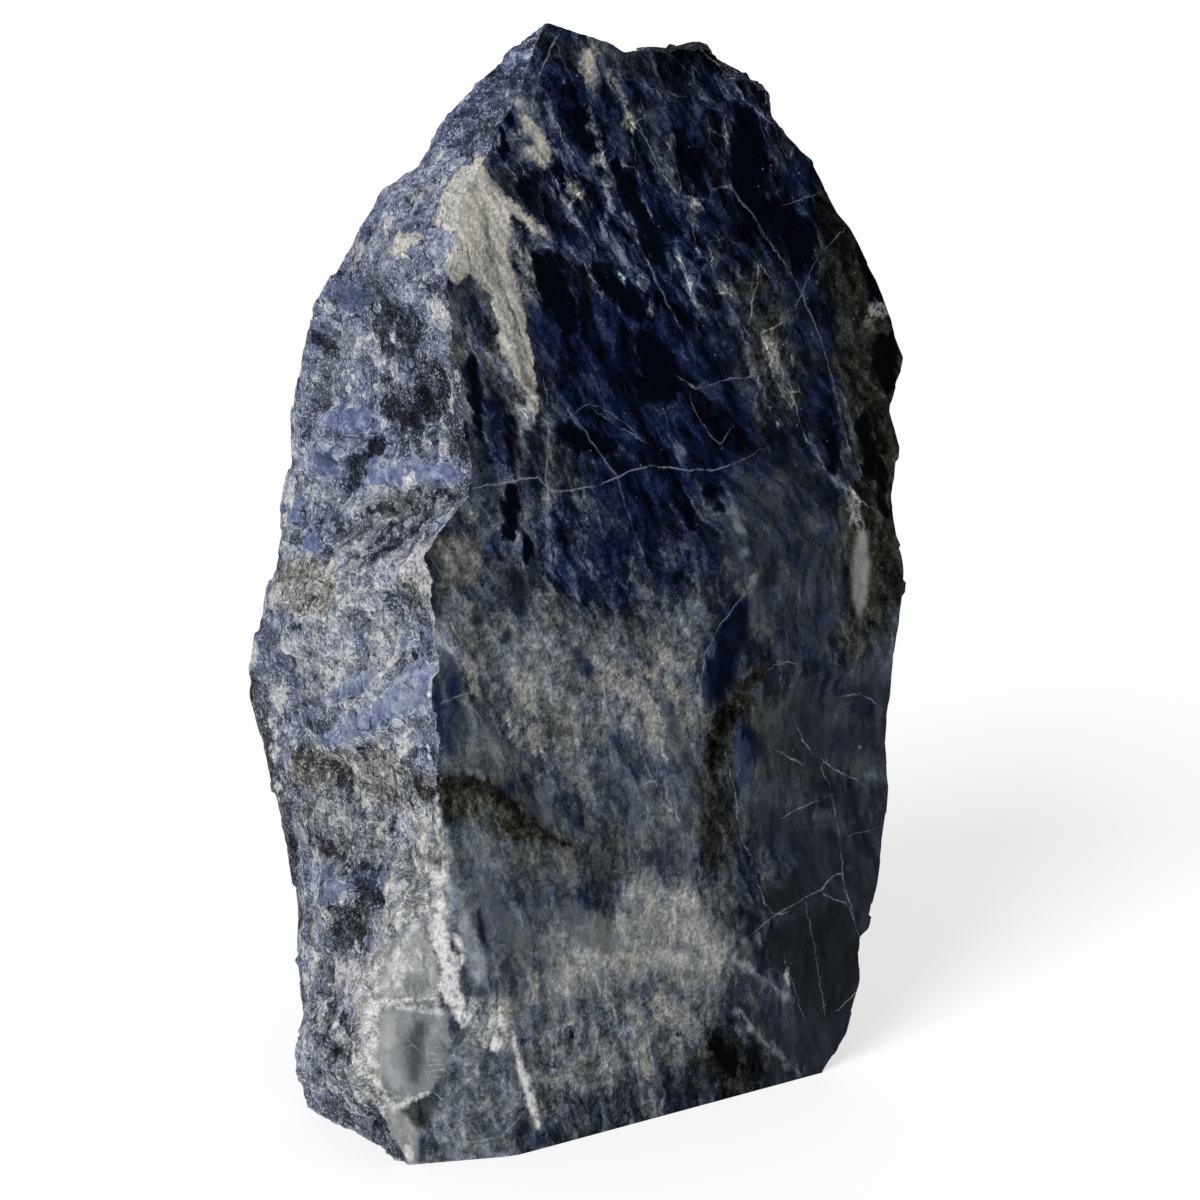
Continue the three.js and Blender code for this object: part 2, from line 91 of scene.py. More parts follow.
# Each ground zone: its shapes, how softly it ends in mm, and what it is made of there:
# tone (0 black to 1 white), blue, warm, contrast of its streaks, grain, wisps, flecks.
# A shape is an outline of (across, up) corners or a stroke of (across, up, half width) points.
HONED_GROUND = {
    "all over": ([], 1, (0.37, 0.38, 0.2, 0.6, 0.4, 0.55, 0.4)),
    "streaked shoulder": ([[(2, 240, 9), (20, 217, 15), (36, 197, 13)]], 10,
        (0.29, 0.88, 0.08, 1.05, 0.25, 0.9, 0.5)),
    "cap": ([[(2, 238, 5), (8, 231, 5), (1, 224, 3)]], 5, (0.45, 0.6, 0.1, 0.75, 0.5, 0.8, 0.5)),
    "blaze": ([[(-7, 213, 6)]], 5, (0.56, 0.6, 0.1, 0.6, 0.5, 0.6, 0.5)),
    "blaze haze": ([[(-2, 193, 3), (1, 186, 3.5), (3, 178, 3), (6, 172, 2)], [(3, 208, 3), (6, 196, 3)]], 4,
        (0.46, 0.4, 0.25, 0.9, 0.6, 0.6, 0.5)),
    "blaze fibres": ([[(-4.4, 214, 0.4), (-3.6, 206, 0.8), (-1.5, 198, 0.5)], [(1.2, 192, 0.4), (3.2, 184, 0.9),
        (5, 177, 0.4)]], 0.9, (0.02, 0.6, 0.1, 0.6, 0.5, 0.6, 0.5)),
    "night corner": ([[(46, 234, 11), (62, 208, 16), (74, 192, 12)]], 11, (0.15, 0.85, 0.12, 0.85, 0.25, 0.9, 0.5)),
    "navy heart": ([[(12, 187, 5), (26, 177, 15), (46, 164, 16), (34, 156, 12)]], 9,
        (0.21, 0.95, 0, 0.74, 0.25, 0.55, 0.5)),
    "navy strip": ([[(-3.5, 174, 1.5), (-1.8, 160, 2.2), (-1, 148, 2.5)]], 2.5,
        (0.25, 0.85, 0, 0.75, 0.25, 0.55, 0.4)),
    "grey-blue strip": ([[(-8, 193, 2), (-7, 178, 2.2), (-8.8, 162, 2.4)]], 2.5,
        (0.38, 0.5, 0.12, 0.9, 0.25, 0.4, 0.4)),
    "streaks under the heart": ([[(8, 148, 6), (24, 134, 8), (38, 130, 8), (48, 138, 7)]], 9,
        (0.3, 0.85, 0.1, 0.75, 0.45, 0.7, 0.4)),
    "grey left of the heart": ([[(-2, 150, 6), (0, 141, 7)]], 6, (0.42, 0.6, 0.15, 0.6, 0.6, 0.6, 0.4)),
    "right navy": ([[(70, 186, 8), (74, 166, 9), (70, 150, 9)]], 9, (0.2, 0.8, 0.1, 0.55, 0.25, 0.6, 0.4)),
    "blue veil": ([[(64, 140, 11), (72, 122, 13), (74, 112, 9)]], 9, (0.36, 0.42, 0.18, 0.32, 0.3, 0.55, 0.3)),
    "granite net": ([[(60, 190, 5), (63, 178, 7), (66, 167, 5)]], 6, (0.34, 0.3, 0.4, 0.6, 0.7, 1, 0.8)),
    "black rim": ([[(80, 210, 4), (91, 182, 8), (95, 150, 8), (93, 122, 7), (92, 108, 4)]], 6,
        (0.22, 0.04, 0.9, 0.5, 0.6, 0.3, 0.4)),
    "grey mottle": ([[(-8, 127, 6), (2, 120, 9), (16, 104, 16), (32, 97, 15), (38, 112, 12)]], 8,
        (0.59, 0.3, 0.28, 0.46, 0.95, 0.5, 0.5)),
    "blue among the grey": ([[(26, 88, 7), (40, 78, 9)]], 7, (0.515, 0.5, 0.12, 0.42, 0.55, 0.7, 0.3)),
    "blue-grey band": ([[(42, 89, 1.5), (45.3, 76, 3), (42.5, 65, 2.5)]], 3.5,
        (0.54, 0.3, 0.12, 0.36, 0.5, 0.6, 0.3)),
    "blue lenses": ([[(25, 95.9, 0.7), (27.1, 91.6, 1.3), (30.3, 86.1, 0.8)], [(23, 85.5, 0.8), (27.2, 78.8, 1.4),
        (31.4, 72.9, 0.8)], [(11.7, 89.6, 0.8), (13.7, 83.4, 1.2), (16.8, 74.9, 1)], [(31.2, 113.2, 1.1),
        (34.3, 110.7, 1.1)], [(16, 118, 0.7), (19, 112, 0.8)], [(39, 101, 0.8), (40, 96, 0.8)]], 1.4,
        (0.43, 0.5, 0.08, 0.45, 0.4, 0.5, 0.4)),
    "green shade": ([[(-6, 70, 4), (10, 68, 5), (28, 68, 5)]], 6, (0.46, 0.2, 0.4, 0.4, 0.8, 0.5, 0.3)),
    "low mottle": ([[(6, 22, 11), (26, 22, 13), (42, 22, 9)]], 8, (0.58, 0.3, 0.28, 0.5, 0.85, 0.4, 0.8)),
    "cream mottle": ([[(6, 43, 5), (24, 44, 8), (36, 47, 9), (49, 38, 6)], [(30, 58, 4), (40, 52, 7)]], 8,
        (0.735, 0.14, 0.4, 0.36, 1, 0.3, 0.5)),
    "smoky green": ([[(66, 94, 6), (74, 84, 8), (66, 78, 6), (84, 84, 7)]], 6,
        (0.36, 0.25, 0.55, 0.28, 0.4, 0.3, 0.3)),
    # The far right edge is painted paler: painted light that lifts the shade the grazing light leaves there.
    "right edge with painted light": ([[(96, 104, 6), (97, 92, 7), (98, 78, 7)]], 7, (0.51, 0.22, 0.12, 0.4, 0.3, 0.4, 0.3)),
    "lower right slate": ([[(70, 70, 7), (84, 62, 11), (84, 38, 16), (80, 12, 14)], [(78, 90, 9), (92, 88, 8)]], 8,
        (0.32, 0.16, 0.12, 0.13, 0.12, 0.12, 0.3)),
    "dark slate": ([[(77, 75), (96, 70), (97, 62), (95, 54), (80, 62)]], 3, (0.3, 0.16, 0.1, 0.25, 0.3, 0.4, 0.3)),
    "slate haze": ([[(63, 77.8, 1), (72, 73, 3), (78.9, 68.6, 3), (88.4, 62.5, 2)], [(97, 88, 2), (84, 92, 3)],
        [(58.5, 36, 1), (63, 29.5, 2), (70, 23.9, 2), (73.6, 14.3, 1)]], 4, (0.385, 0.18, 0.15, 0.3, 0.4, 0.4, 0.4)),
    "black slate": ([[(62.5, 48), (66.9, 51.2), (73.8, 50.8), (76.2, 47.1), (69.3, 45.4)], [(66.7, 38.6),
        (72.9, 40.4), (77.4, 42.6), (82, 44.2), (87.9, 41.3), (91.1, 34.2), (91.5, 23.2), (88.9, 15), (82.9, 15.4),
        (78.1, 19.8), (73.3, 27.5)]], 2.2, (0.25, 0.04, 0.2, 0.16, 0.25, 0.2, 0.3)),
    "deep navy": ([[(56, 121, 2), (54, 114, 4), (52, 108, 4), (51, 102, 2)]], 2.5,
        (0.15, 0.8, 0, 0.3, 0.15, 0.3, 0.8)),
    "navy pocket": ([[(57.5, 92, 1.5), (59, 87.5, 3), (58.6, 81, 2)]], 1.8, (0.25, 0.6, 0, 0.3, 0.2, 0.3, 0.6)),
    "black green": ([[(56, 99, 1.5), (53.5, 96, 2.5), (52, 90, 2.6), (51, 85, 1.8)]], 2.2,
        (0.13, 0, 0.8, 0.85, 1, 0.2, 0.4)),
    "dark green side": ([[(50.5, 80, 3), (51, 70, 4), (52.5, 62, 3)]], 3.5, (0.31, 0.15, 0.6, 0.45, 0.8, 0.3, 0.3)),
    "foot streaks": ([[(12, 7, 4), (31, 4, 4)]], 5, (0.48, 0.3, 0.15, 0.65, 0.7, 0.4, 0.5)),
    "black foot": ([[(53, 13, 3.5), (60, 4, 5.5)]], 5, (0.19, 0.1, 0.45, 0.6, 0.6, 0.25, 0.4)),
    "olive lens": ([[(-17, 93), (-9, 92), (-3, 88), (2, 82), (8, 76), (3, 77), (-6, 80), (-12, 83), (-17, 88)]], 1.4,
        (0.35, 0.05, 0.95, 0.5, 1, 0, 0.3)),
    "low left side": ([[(-10, 78, 5), (-10, 70, 7), (-6, 52, 10), (-2, 38, 9), (8, 58, 7)]], 6,
        (0.56, 0.32, 0.15, 0.45, 0.6, 0.3, 0.5)),
    "slate blue side": ([[(-12, 76, 3), (-8, 66, 5), (-2, 52, 6)], [(-10, 44, 4), (-12, 37, 3)]], 4,
        (0.55, 0.3, 0.12, 0.45, 0.6, 0.3, 0.6)),
    "lilac facet": ([[(-15.4, 71.7), (-12.9, 68.1), (-10.1, 62.8), (-8.3, 57.2), (-6, 49), (-7.1, 44.4),
        (-10.2, 46.9), (-11.9, 53), (-13.6, 61.9), (-14.9, 66.8)]], 1, (0.74, 0.35, 0.12, 0.3, 0.7, 0.2, 0.8)),
    "speckled grey": ([[(-9.7, 41), (-3.2, 40), (-0.4, 34), (-0.9, 28), (-7, 28), (-10, 33)]], 1.6,
        (0.74, 0.05, 0.3, 0.55, 1, 0.1, 0.8)),
    "slate foot": ([[(-14.6, 32.3), (-10.4, 33.4), (-7, 28), (-1, 24), (2.5, 14), (1, 5), (2, -3), (-19, -3),
        (-20, 9.4), (-17.4, 18.4), (-15, 22.2)]], 1.4, (0.61, 0.3, 0.12, 0.5, 0.75, 0.4, 0.6)),
    "green patch": ([[(-15.1, 147), (-7, 146), (-7, 138), (-11.2, 137.3), (-14.3, 138.6)]], 2,
        (0.58, 0.05, 0.65, 0.4, 1, 0.3, 0.2)),
    "fibrous edge": ([[(-16, 136), (-15.6, 123), (-12.5, 121), (-12.1, 133)]], 2.5,
        (0.62, 0.4, 0.15, 0.6, 0.5, 0.8, 0.3)),
    "blue strip": ([[(-15, 123), (-12.4, 121), (-11.1, 116), (-11.2, 111), (-11.1, 102), (-11.9, 99), (-19, 99),
        (-18, 111)]], 1.6, (0.42, 0.7, 0, 0.35, 0.25, 0.5, 0.2)),
    "clear wedge": ([[(-10.9, 111), (-7.5, 107), (-3.4, 99), (0.8, 91.4), (-4.9, 92), (-11.5, 93.5), (-16, 95),
        (-16, 98), (-11.5, 99)]], 2.5, (0.54, 0.25, 0.3, 0.38, 0.55, 0.3, 0.2)),
    "dark spots": ([[(1.8, 136.7, 1.4), (2, 133.5, 1.6), (3.2, 128.5, 0.9)], [(5.6, 143, 0.9), (5.5, 136, 1.1)],
        [(-7.8, 131, 0.7), (-7.2, 128.4, 0.9)], [(80.3, 74.3, 1.6)], [(86.7, 73.5, 1.5)], [(78.8, 69.6, 1.4)],
        [(92, 71, 1.4)], [(75, 106, 2), (78.5, 104.5, 1.6)], [(85, 98, 2.2)], [(92.4, 91.3, 1.2)],
        [(94.4, 81.5, 0.9)], [(-8.2, 62.4, 0.6), (-7.3, 57.9, 0.9), (-6.9, 55, 0.5)], [(-0.5, 123.3, 1)]], 1,
        (0.3, 0.45, 0.15, 0.4, 0.4, 0.3, 0.3)),
    "pale oval": ([[(88.6, 133, 1), (88.4, 126, 2.1), (88.2, 118, 1.9), (88.6, 112, 0.6)]], 1.2,
        (0.68, 0, 0.5, 0.22, 0.4, 0.1, 0.1)),
    "grey corner": ([[(-18, 80, 3), (-22, 62, 7), (-26, 48, 9), (-30, 34, 9), (-30, 20, 7), (-27, 6, 6)]], 2.5,
        (0.79, 0.03, 0.22, 0.55, 1, 0.1, 0.6)),
    "clear grey": ([[(-28.2, 51.8), (-27.1, 55.4), (-24.7, 57.9), (-19.8, 61.4), (-18.5, 55.5), (-17.2, 45.5),
        (-17.6, 42.5), (-29.2, 43.1)]], 2.2, (0.82, 0.04, 0.2, 0.36, 0.6, 0.1, 0.6)),
    "corner window": (CORNER_WINDOW, 1.7, (0.73, 0.04, 0.22, 0.18, 0.25, 0.05, 0.1)),
    "window's light side": ([[(-27, 38, 1), (-27.4, 33, 1.8), (-27, 27, 1.8), (-24.8, 21, 1.4)]], 2.4,
        (0.86, 0.04, 0.22, 0.18, 0.2, 0.05, 0.1)),
    "window's dark core": ([[(-20.2, 35, 0.6), (-21.4, 31, 1.4), (-21.2, 26.5, 1.5), (-21.4, 22, 0.6)]], 1.5,
        (0.5, 0.04, 0.22, 0.12, 0.05, 0.05, 0.1)),
    "dark wedge": ([[(-24.2, 13.9), (-22.9, 15.1), (-19.1, 18), (-17, 17.3), (-17.4, 13.2), (-20.3, 8.9),
        (-23.3, 12)]], 0.8, (0.38, 0, 0.3, 0.35, 0.5, 0.1, 0.3)),
    "pale foot edge": ([[(-27.1, 15.2), (-24.6, 14.5), (-22.9, 12.2), (-20.6, 7.9), (-20.3, -3), (-25, -3)]], 0.8,
        (0.77, 0, 0.36, 0.22, 0.4, 0.1, 0.4)),
}

# Marks with a sharper edge. Their depth is stored and the material frays it.
HONED_CREAM = [
    [(-4.8, 223.8), (-3.1, 220.3), (-0.9, 217.7), (1, 215), (1.6, 211), (1.5, 208.2), (1.3, 204.9), (1.7, 201.5),
     (2.6, 198), (3.5, 193.7), (4.9, 188.4), (5.8, 184.8), (6.6, 180.4), (6.9, 176), (7.2, 171.5), (6.2, 170),
     (4.6, 173.5), (3, 177.5), (0.8, 180.8), (-0.4, 183.6), (-1.9, 187.3), (-1.7, 190.8), (-2.6, 194.3),
     (-3.9, 197.8), (-5.8, 199.6), (-8.5, 201.6), (-9.9, 200), (-13.3, 201.8), (-14, 205), (-14, 212), (-12, 218),
     (-8, 224)],
    [(-2, 217.5, 1), (2, 213.6, 1.2), (5, 211.2, 0.9), (8, 208.8, 0.8), (10, 207.3, 0.3)],
    [(4, 233.5), (6.3, 231), (9.5, 227.5), (10.8, 224), (9, 222.6), (6, 223), (5, 225.5), (7, 226.5), (4.6, 230.5)],
    [(19.3, 239, 0.8), (19.4, 244, 0.8)],
]
HONED_BEIGE = [
    [(3, 234.7), (5.3, 233.7), (6.7, 230.4), (9.5, 228.5), (11.3, 225.1), (10.8, 222.6), (8.5, 222), (5.2, 222.2),
     (3.8, 224.8), (6.6, 226.2), (3.9, 230.5)],
    [(19.5, 238, 1.8), (19.5, 244, 1.6), (19, 247, 0.8)], [(25.5, 236, 0.8), (29, 228, 0.7)],
    [(17, 237, 0.4), (21.5, 225.5, 0.5)], [(20.5, 222, 1.4), (22.5, 222, 1.3)], [(14, 219, 1), (18.5, 213, 0.7)],
    [(44, 210.5, 0.9), (45, 209.8, 0.5)], [(31, 196, 0.5), (34, 190, 0.6)],
    [(3.9, 112.3, 2.2), (4.8, 109.9, 2.6), (4.8, 106, 2.2)], [(5.7, 101, 1.8), (5.7, 97, 1.6)],
    [(0, 104.8, 1.3), (0.9, 101.5, 1)], [(-9.6, 119, 1.4), (-8.8, 115.8, 1.8), (-8.6, 113, 1.2)],
    [(20.8, 115.3, 1.2), (24.2, 110.7, 2), (28.2, 107.2, 2.6), (32.2, 103.7, 2.6), (35, 100, 2), (36, 92, 1.2)],
    [(30, 112, 0.8), (38, 107, 1.2), (41, 103, 0.8)], [(36, 115, 1), (41, 110, 1.4)],
    [(24, 44, 1), (32, 42, 1.4), (38, 40, 0.8)], [(34, 55, 1.2), (38, 50, 1.6)], [(47, 38, 1.2), (51, 35, 0.8)],
    [(37, 30, 2.2), (43, 24, 2.2)], [(9, 17, 1.6), (14, 16, 1.6)], [(33, 19, 1.2), (34, 11, 1.4)],
    [(89, 184, 2), (92, 184, 1.5)], [(86, 143, 1), (87.5, 135, 1)], [(62, 181, 1.2), (66, 173, 1.2)],
    [(6.2, 42.3, 1.2), (4.6, 37.8, 1)],
]
HONED_BLACK = [
    [(16, 236, 1.2), (18.5, 230, 2), (20.5, 224, 1.2)], [(25, 221, 1.4), (28, 216, 2.2), (31, 210, 1.6)],
    [(31.5, 209, 1.5), (34.5, 203, 2), (37, 198, 0.8)], [(44, 204, 1.3), (46, 202, 1.3)], [(46, 199, 0.9)],
    [(6, 204), (10, 205), (13, 203), (15, 197), (17, 190), (15.5, 187), (11.5, 189), (8, 195)],
    [(20, 201), (25, 199), (30, 195), (33.5, 191), (34, 188), (31, 187.5), (27, 190), (22, 196)],
    [(30, 188), (36, 184), (40, 179), (41.5, 172), (38, 169.5), (33, 171), (31, 178)],
    [(14, 166, 2.5), (20, 163, 2.5), (25, 162, 1.5)], [(56, 228, 3), (57, 218, 4.5), (59, 208, 3)],
    [(64, 208, 3), (70, 202, 4), (73, 196, 2)], [(-7.5, 184, 0.8), (-7, 176, 1.2), (-6, 168, 0.8)],
    [(1, 171, 0.8), (1, 161, 0.8)], [(1, 155, 1.5), (1, 146, 1.5)], [(4, 144, 1), (4, 140, 0.8)],
    [(49, 149, 1.8), (51, 146, 1.2)], [(43, 146, 1.3), (44, 142, 1)], [(79, 158, 1.8), (80, 150, 1.4)],
    [(86, 198, 2), (92, 186, 2)], [(93, 176, 3), (94, 168, 3)], [(88, 160, 2), (90, 148, 2)],
    [(93, 150, 1.2), (94, 138, 1)], [(92, 112, 1)], [(52, 15, 1.5), (57, 8, 2.5)], [(14, 29, 0.2), (14.5, 26, 0.1)],
    [(10, 20, 0.2)], [(42, 20, 0.2)], [(9, 226, 1.2), (12, 220, 0.9)], [(1, 232, 1), (0, 224, 0.8)],
    [(4, 219, 0.9), (6, 214, 0.8)], [(40, 226, 1.2), (46, 214, 1.4)],
]
HONED_GREEN = [
    [(-17, 94, 0.8), (-9, 92.5, 1.2), (-3, 88.5, 1.2), (2, 82.5, 1.4), (9, 76, 1), (14, 73, 0.4)],
    [(66, 106.2, 0.3), (62.4, 104.9, 0.8), (59.8, 103.2, 1.3), (57.8, 101, 1.6), (58.4, 98, 1.2), (58, 95.4, 0.8)],
    [(55, 98, 1.6), (52.6, 94, 1.8), (52.4, 89, 1.8), (51, 85.5, 1.2)],
]
HONED_WHITE = [
    [(-16, 75, 0.3), (-16.1, 70.5, 0.6), (-16.4, 66, 1), (-16.6, 61.2, 1.2), (-16.3, 56.3, 1.7), (-15.5, 52.3, 1.7),
     (-15, 48.3, 1.7), (-14.6, 44.4, 1.8), (-13.4, 40.7, 1.6), (-11.7, 37.1, 1.4), (-11.5, 34.6, 0.8)],
    [(-13.2, 57, 0.4), (-12.3, 53.5, 0.7), (-11.9, 50, 0.4)], [(-17.4, 90, 0.4), (-17, 82, 0.5)],
    [(-3.3, 34.8, 0.7), (-2.1, 32, 0.9)], [(-4.6, 29.2, 0.9), (-3.4, 29.4, 0.8)],
    [(-0.4, 31.1, 0.3), (0.3, 27.5, 0.5), (1, 23.4, 0.7), (2.5, 19, 0.8), (3.9, 14.1, 0.9), (5.1, 9.8, 0.7),
     (6.2, 6, 0.4)],
    [(-27.9, 41.8, 0.4), (-24.6, 42, 0.6), (-20.5, 41.9, 0.5), (-17.2, 41.8, 0.3)],
    [(-25.1, 40.6, 0.3), (-20.5, 39.5, 0.5), (-15.9, 38.3, 0.3)],
    [(-29.6, 41.7, 0.5), (-30.8, 37.8, 1.3), (-31.7, 34, 1), (-31, 29.5, 1.2), (-29.6, 25.6, 0.6)],
    [(-21.8, 59.7, 0.7), (-23.4, 57.4, 0.6), (-24.7, 55, 0.4), (-25.5, 52.9, 0.3)],
    [(-28.3, 51.8, 0.3), (-27.1, 51.3, 0.4), (-25.7, 49.7, 0.2)], [(-27.3, 46.2, 0.5), (-24.8, 45.9, 0.5)],
    [(-26, 15.6, 0.8), (-24.2, 15.9, 0.6), (-21.2, 17.2, 0.4), (-18.7, 18.5, 0.3)],
    [(-22.9, 4.5, 0.7), (-22.4, 1.8, 0.8)], [(71.5, 30, 0.3), (71.5, 26, 0.4)], [(80.4, 80.3, 0.35)],
    [(89.9, 82.3, 0.3)],
]
HONED_MIST = [
    [(9.3, 143, 0.4), (9.1, 138.2, 0.9), (9.8, 134, 0.6), (10.2, 130.5, 0.3)],
    [(10, 171, 0.7), (9.6, 160, 0.9), (9.3, 152, 1.1), (9.6, 147, 1.1), (9.2, 140, 1.4), (9.8, 134, 0.8)],
    [(40, 203, 0.6), (43, 197, 1), (44, 190, 1.1), (45.5, 183.5, 0.4)],
    [(19, 214, 0.3), (24, 206, 0.6), (29, 198, 0.5), (33, 190, 0.3)],
    [(23, 215, 0.4), (30, 209, 0.8), (36, 201, 0.7), (41, 192, 0.4)],
    [(59, 22, 0.4), (64, 14, 0.8), (70, 8, 0.8), (76, 1, 0.4)], [(57, 36, 0.5), (66, 28, 1), (72, 22, 0.5)],
    [(50, 237, 0.5), (56, 232, 1.1), (62, 226, 0.6)],
    [(47, 97, 0.3), (47, 106, 0.4), (50, 116, 0.4), (57, 123, 0.5), (60, 127, 0.3)],
    [(6, 174, 0.5), (3, 168, 0.9), (4, 160, 0.6)], [(88, 150, 0.6), (84, 160, 0.7), (80, 170, 0.5)],
    [(14, 160, 0.4), (17, 150, 0.7), (19, 142, 0.5)], [(36, 170, 0.3), (40, 160, 0.6), (43, 152, 0.4)],
    [(52, 150, 0.5), (56, 142, 0.9), (58, 134, 0.5)],
    [(72.7, 158.8, 0.1), (75.5, 154.2, 0.3), (77.8, 150.6, 0.35), (83, 145.5, 0.35), (87.5, 142.7, 0.2)],
]
HONED_SLATE = [
    [(15, 57, 2.5), (20, 51, 4), (24, 47, 2.5)], [(-8, 68, 1.5), (-4, 60, 3), (2, 52, 2.5)],
    [(56, 92, 1.5), (58, 82, 2.8), (59, 76, 1.5)], [(20, 52, 2)], [(38, 102, 1), (42, 92, 1.6)],
    [(7, 88, 1.4), (8, 78, 1.8)],
]

# Fine cracks and veins, in eight sets: the lines of a set lie far from each other and are equally strong.
# Those of the last set are dark.
HONED_CRACKS = [
    [[(53.8, 86.6), (55.5, 81), (56.7, 75.4), (57.3, 70.4), (58.4, 65.2), (61.2, 59.7), (63, 53), (65, 48), (67, 45),
     (70, 44.5)], [(12, 247), (8, 240), (6.5, 234)], [(86, 16), (91, 19)], [(72.2, 91.4), (74.5, 86.2), (76.8, 83.3),
     (80.7, 80.1), (84.6, 76.9), (88.9, 74.1)]],
    [[(54, 38.5), (60, 40), (65, 43), (70, 45.5), (76, 47), (80, 48), (83, 50.5), (86, 51.5), (87, 47), (89, 42)],
     [(-8, 157), (0, 157), (7, 157.5), (10, 154), (20, 153.5), (28, 155.5), (34, 156.5), (40, 155), (46, 154),
     (50, 153.5), (54, 154), (60, 156)], [(-19.2, 37.3), (-19.1, 31.7), (-18.8, 26.7), (-18.2, 22)], [(68.1, 84.9),
     (70.9, 82.9), (74.1, 80.8)], [(-17, 110.7), (-15.3, 111.6), (-13.5, 112.1), (-11.2, 112.4)], [(-17, 17.8),
     (-14.5, 14.5), (-11, 11), (-8.5, 7.2)]],
    [[(80, 48), (84, 45), (88, 43), (90, 38), (91, 35)], [(68, 172), (72, 160), (73, 157), (75, 156), (78, 150),
     (82, 146), (86, 143.5), (90, 140)], [(-20.3, 8.9), (-18.2, 6.8), (-15.2, 5.3), (-10.1, 4.7), (-4.2, 5.1),
     (-0.7, 7.8), (3.9, 11.6)], [(9, 176), (10, 170), (9.5, 163), (9, 157), (10, 148), (9, 142), (9, 137)],
     [(86.2, 95.3), (89.5, 95), (92.8, 93.2), (95.7, 90.7)], [(81.5, 71.5), (77.7, 70.8), (73.9, 70), (70.1, 68.8)]],
    [[(79.6, 78.8), (82, 73.9), (83.9, 65.1), (85.9, 55.1), (86.2, 52)], [(45, 243), (52, 237), (56, 232), (62, 227)],
     [(-10.4, 32.9), (-8.7, 29.2), (-7, 26), (-3.5, 23)], [(60, 127), (56, 122), (51, 117), (48, 112), (47, 105),
     (47, 98)], [(-23, 39.1), (-21.3, 33.4)], [(41, 174.5), (45.1, 171.8), (53.3, 173.1), (61.7, 173.1)]],
    [[(76, 46), (78, 38), (80, 28), (82, 17)], [(25, 239), (33, 236), (40, 234)], [(68, 210), (74, 211)], [(12, 168),
     (16, 170), (19, 171.5), (22, 170.5), (27, 167), (31, 163)], [(-28.8, 23.6), (-26.3, 20.8), (-23.3, 17.9)],
     [(86.3, 59), (88.5, 60.6), (93.6, 60.4), (96.9, 61)], [(44.1, 168.7), (46.2, 164.3), (51, 159.2), (53, 161.2)]],
    [[(59, 22), (64, 14), (70, 8), (76, 1)], [(-26.7, 37.4), (-23.8, 33.2), (-20.9, 29.4)], [(-27.5, 25.5),
     (-24.6, 28.7), (-22.1, 31)], [(52, 215), (58, 208), (64, 200), (70, 192), (76, 180), (80, 168), (84, 155),
     (88, 148)], [(24, 212), (29, 207), (33, 200), (36, 194), (40, 187)], [(14, 171), (18, 166), (22, 160), (26, 155),
     (28, 148), (31, 140), (33, 135)], [(-11, 111), (-8, 108.5), (-5, 102), (-1, 95)], [(-18.6, 34.7), (-16.7, 31.5),
     (-15.6, 28.4), (-15.2, 24)]],
    [[(71, 32), (73, 26), (75, 20), (78, 12)], [(57, 36), (66, 28), (72, 22)], [(47, 200), (52, 190), (58, 182)],
     [(30, 230), (36, 219)], [(80, 202), (75, 198), (72, 192), (70, 188)], [(22, 169), (26, 166), (32, 162)],
     [(36, 222), (40, 214), (44, 205)], [(66.5, 106.1), (69.2, 106.5), (71.3, 105.5)]],
    [[(-17, 94.5), (-9, 93.5), (-3, 89.5), (2, 84), (9, 76.5), (14, 73)], [(65, 106.2), (62.4, 105.1), (59.8, 103.6),
     (58, 101.8)], [(-4.6, 214.6), (-3.7, 211.2), (-3.4, 206.2)], [(-0.2, 195.7), (2.5, 190.3), (4.4, 185)],
     [(-8.2, 206), (-7.6, 202.8)], [(-4.7, 207), (-4.8, 203)], [(-11, 216), (-11.4, 208)], [(-18.4, 66), (-19, 61),
     (-19.4, 58)], [(-18.3, 55.5), (-17.6, 52.5), (-17.1, 48)]],
]

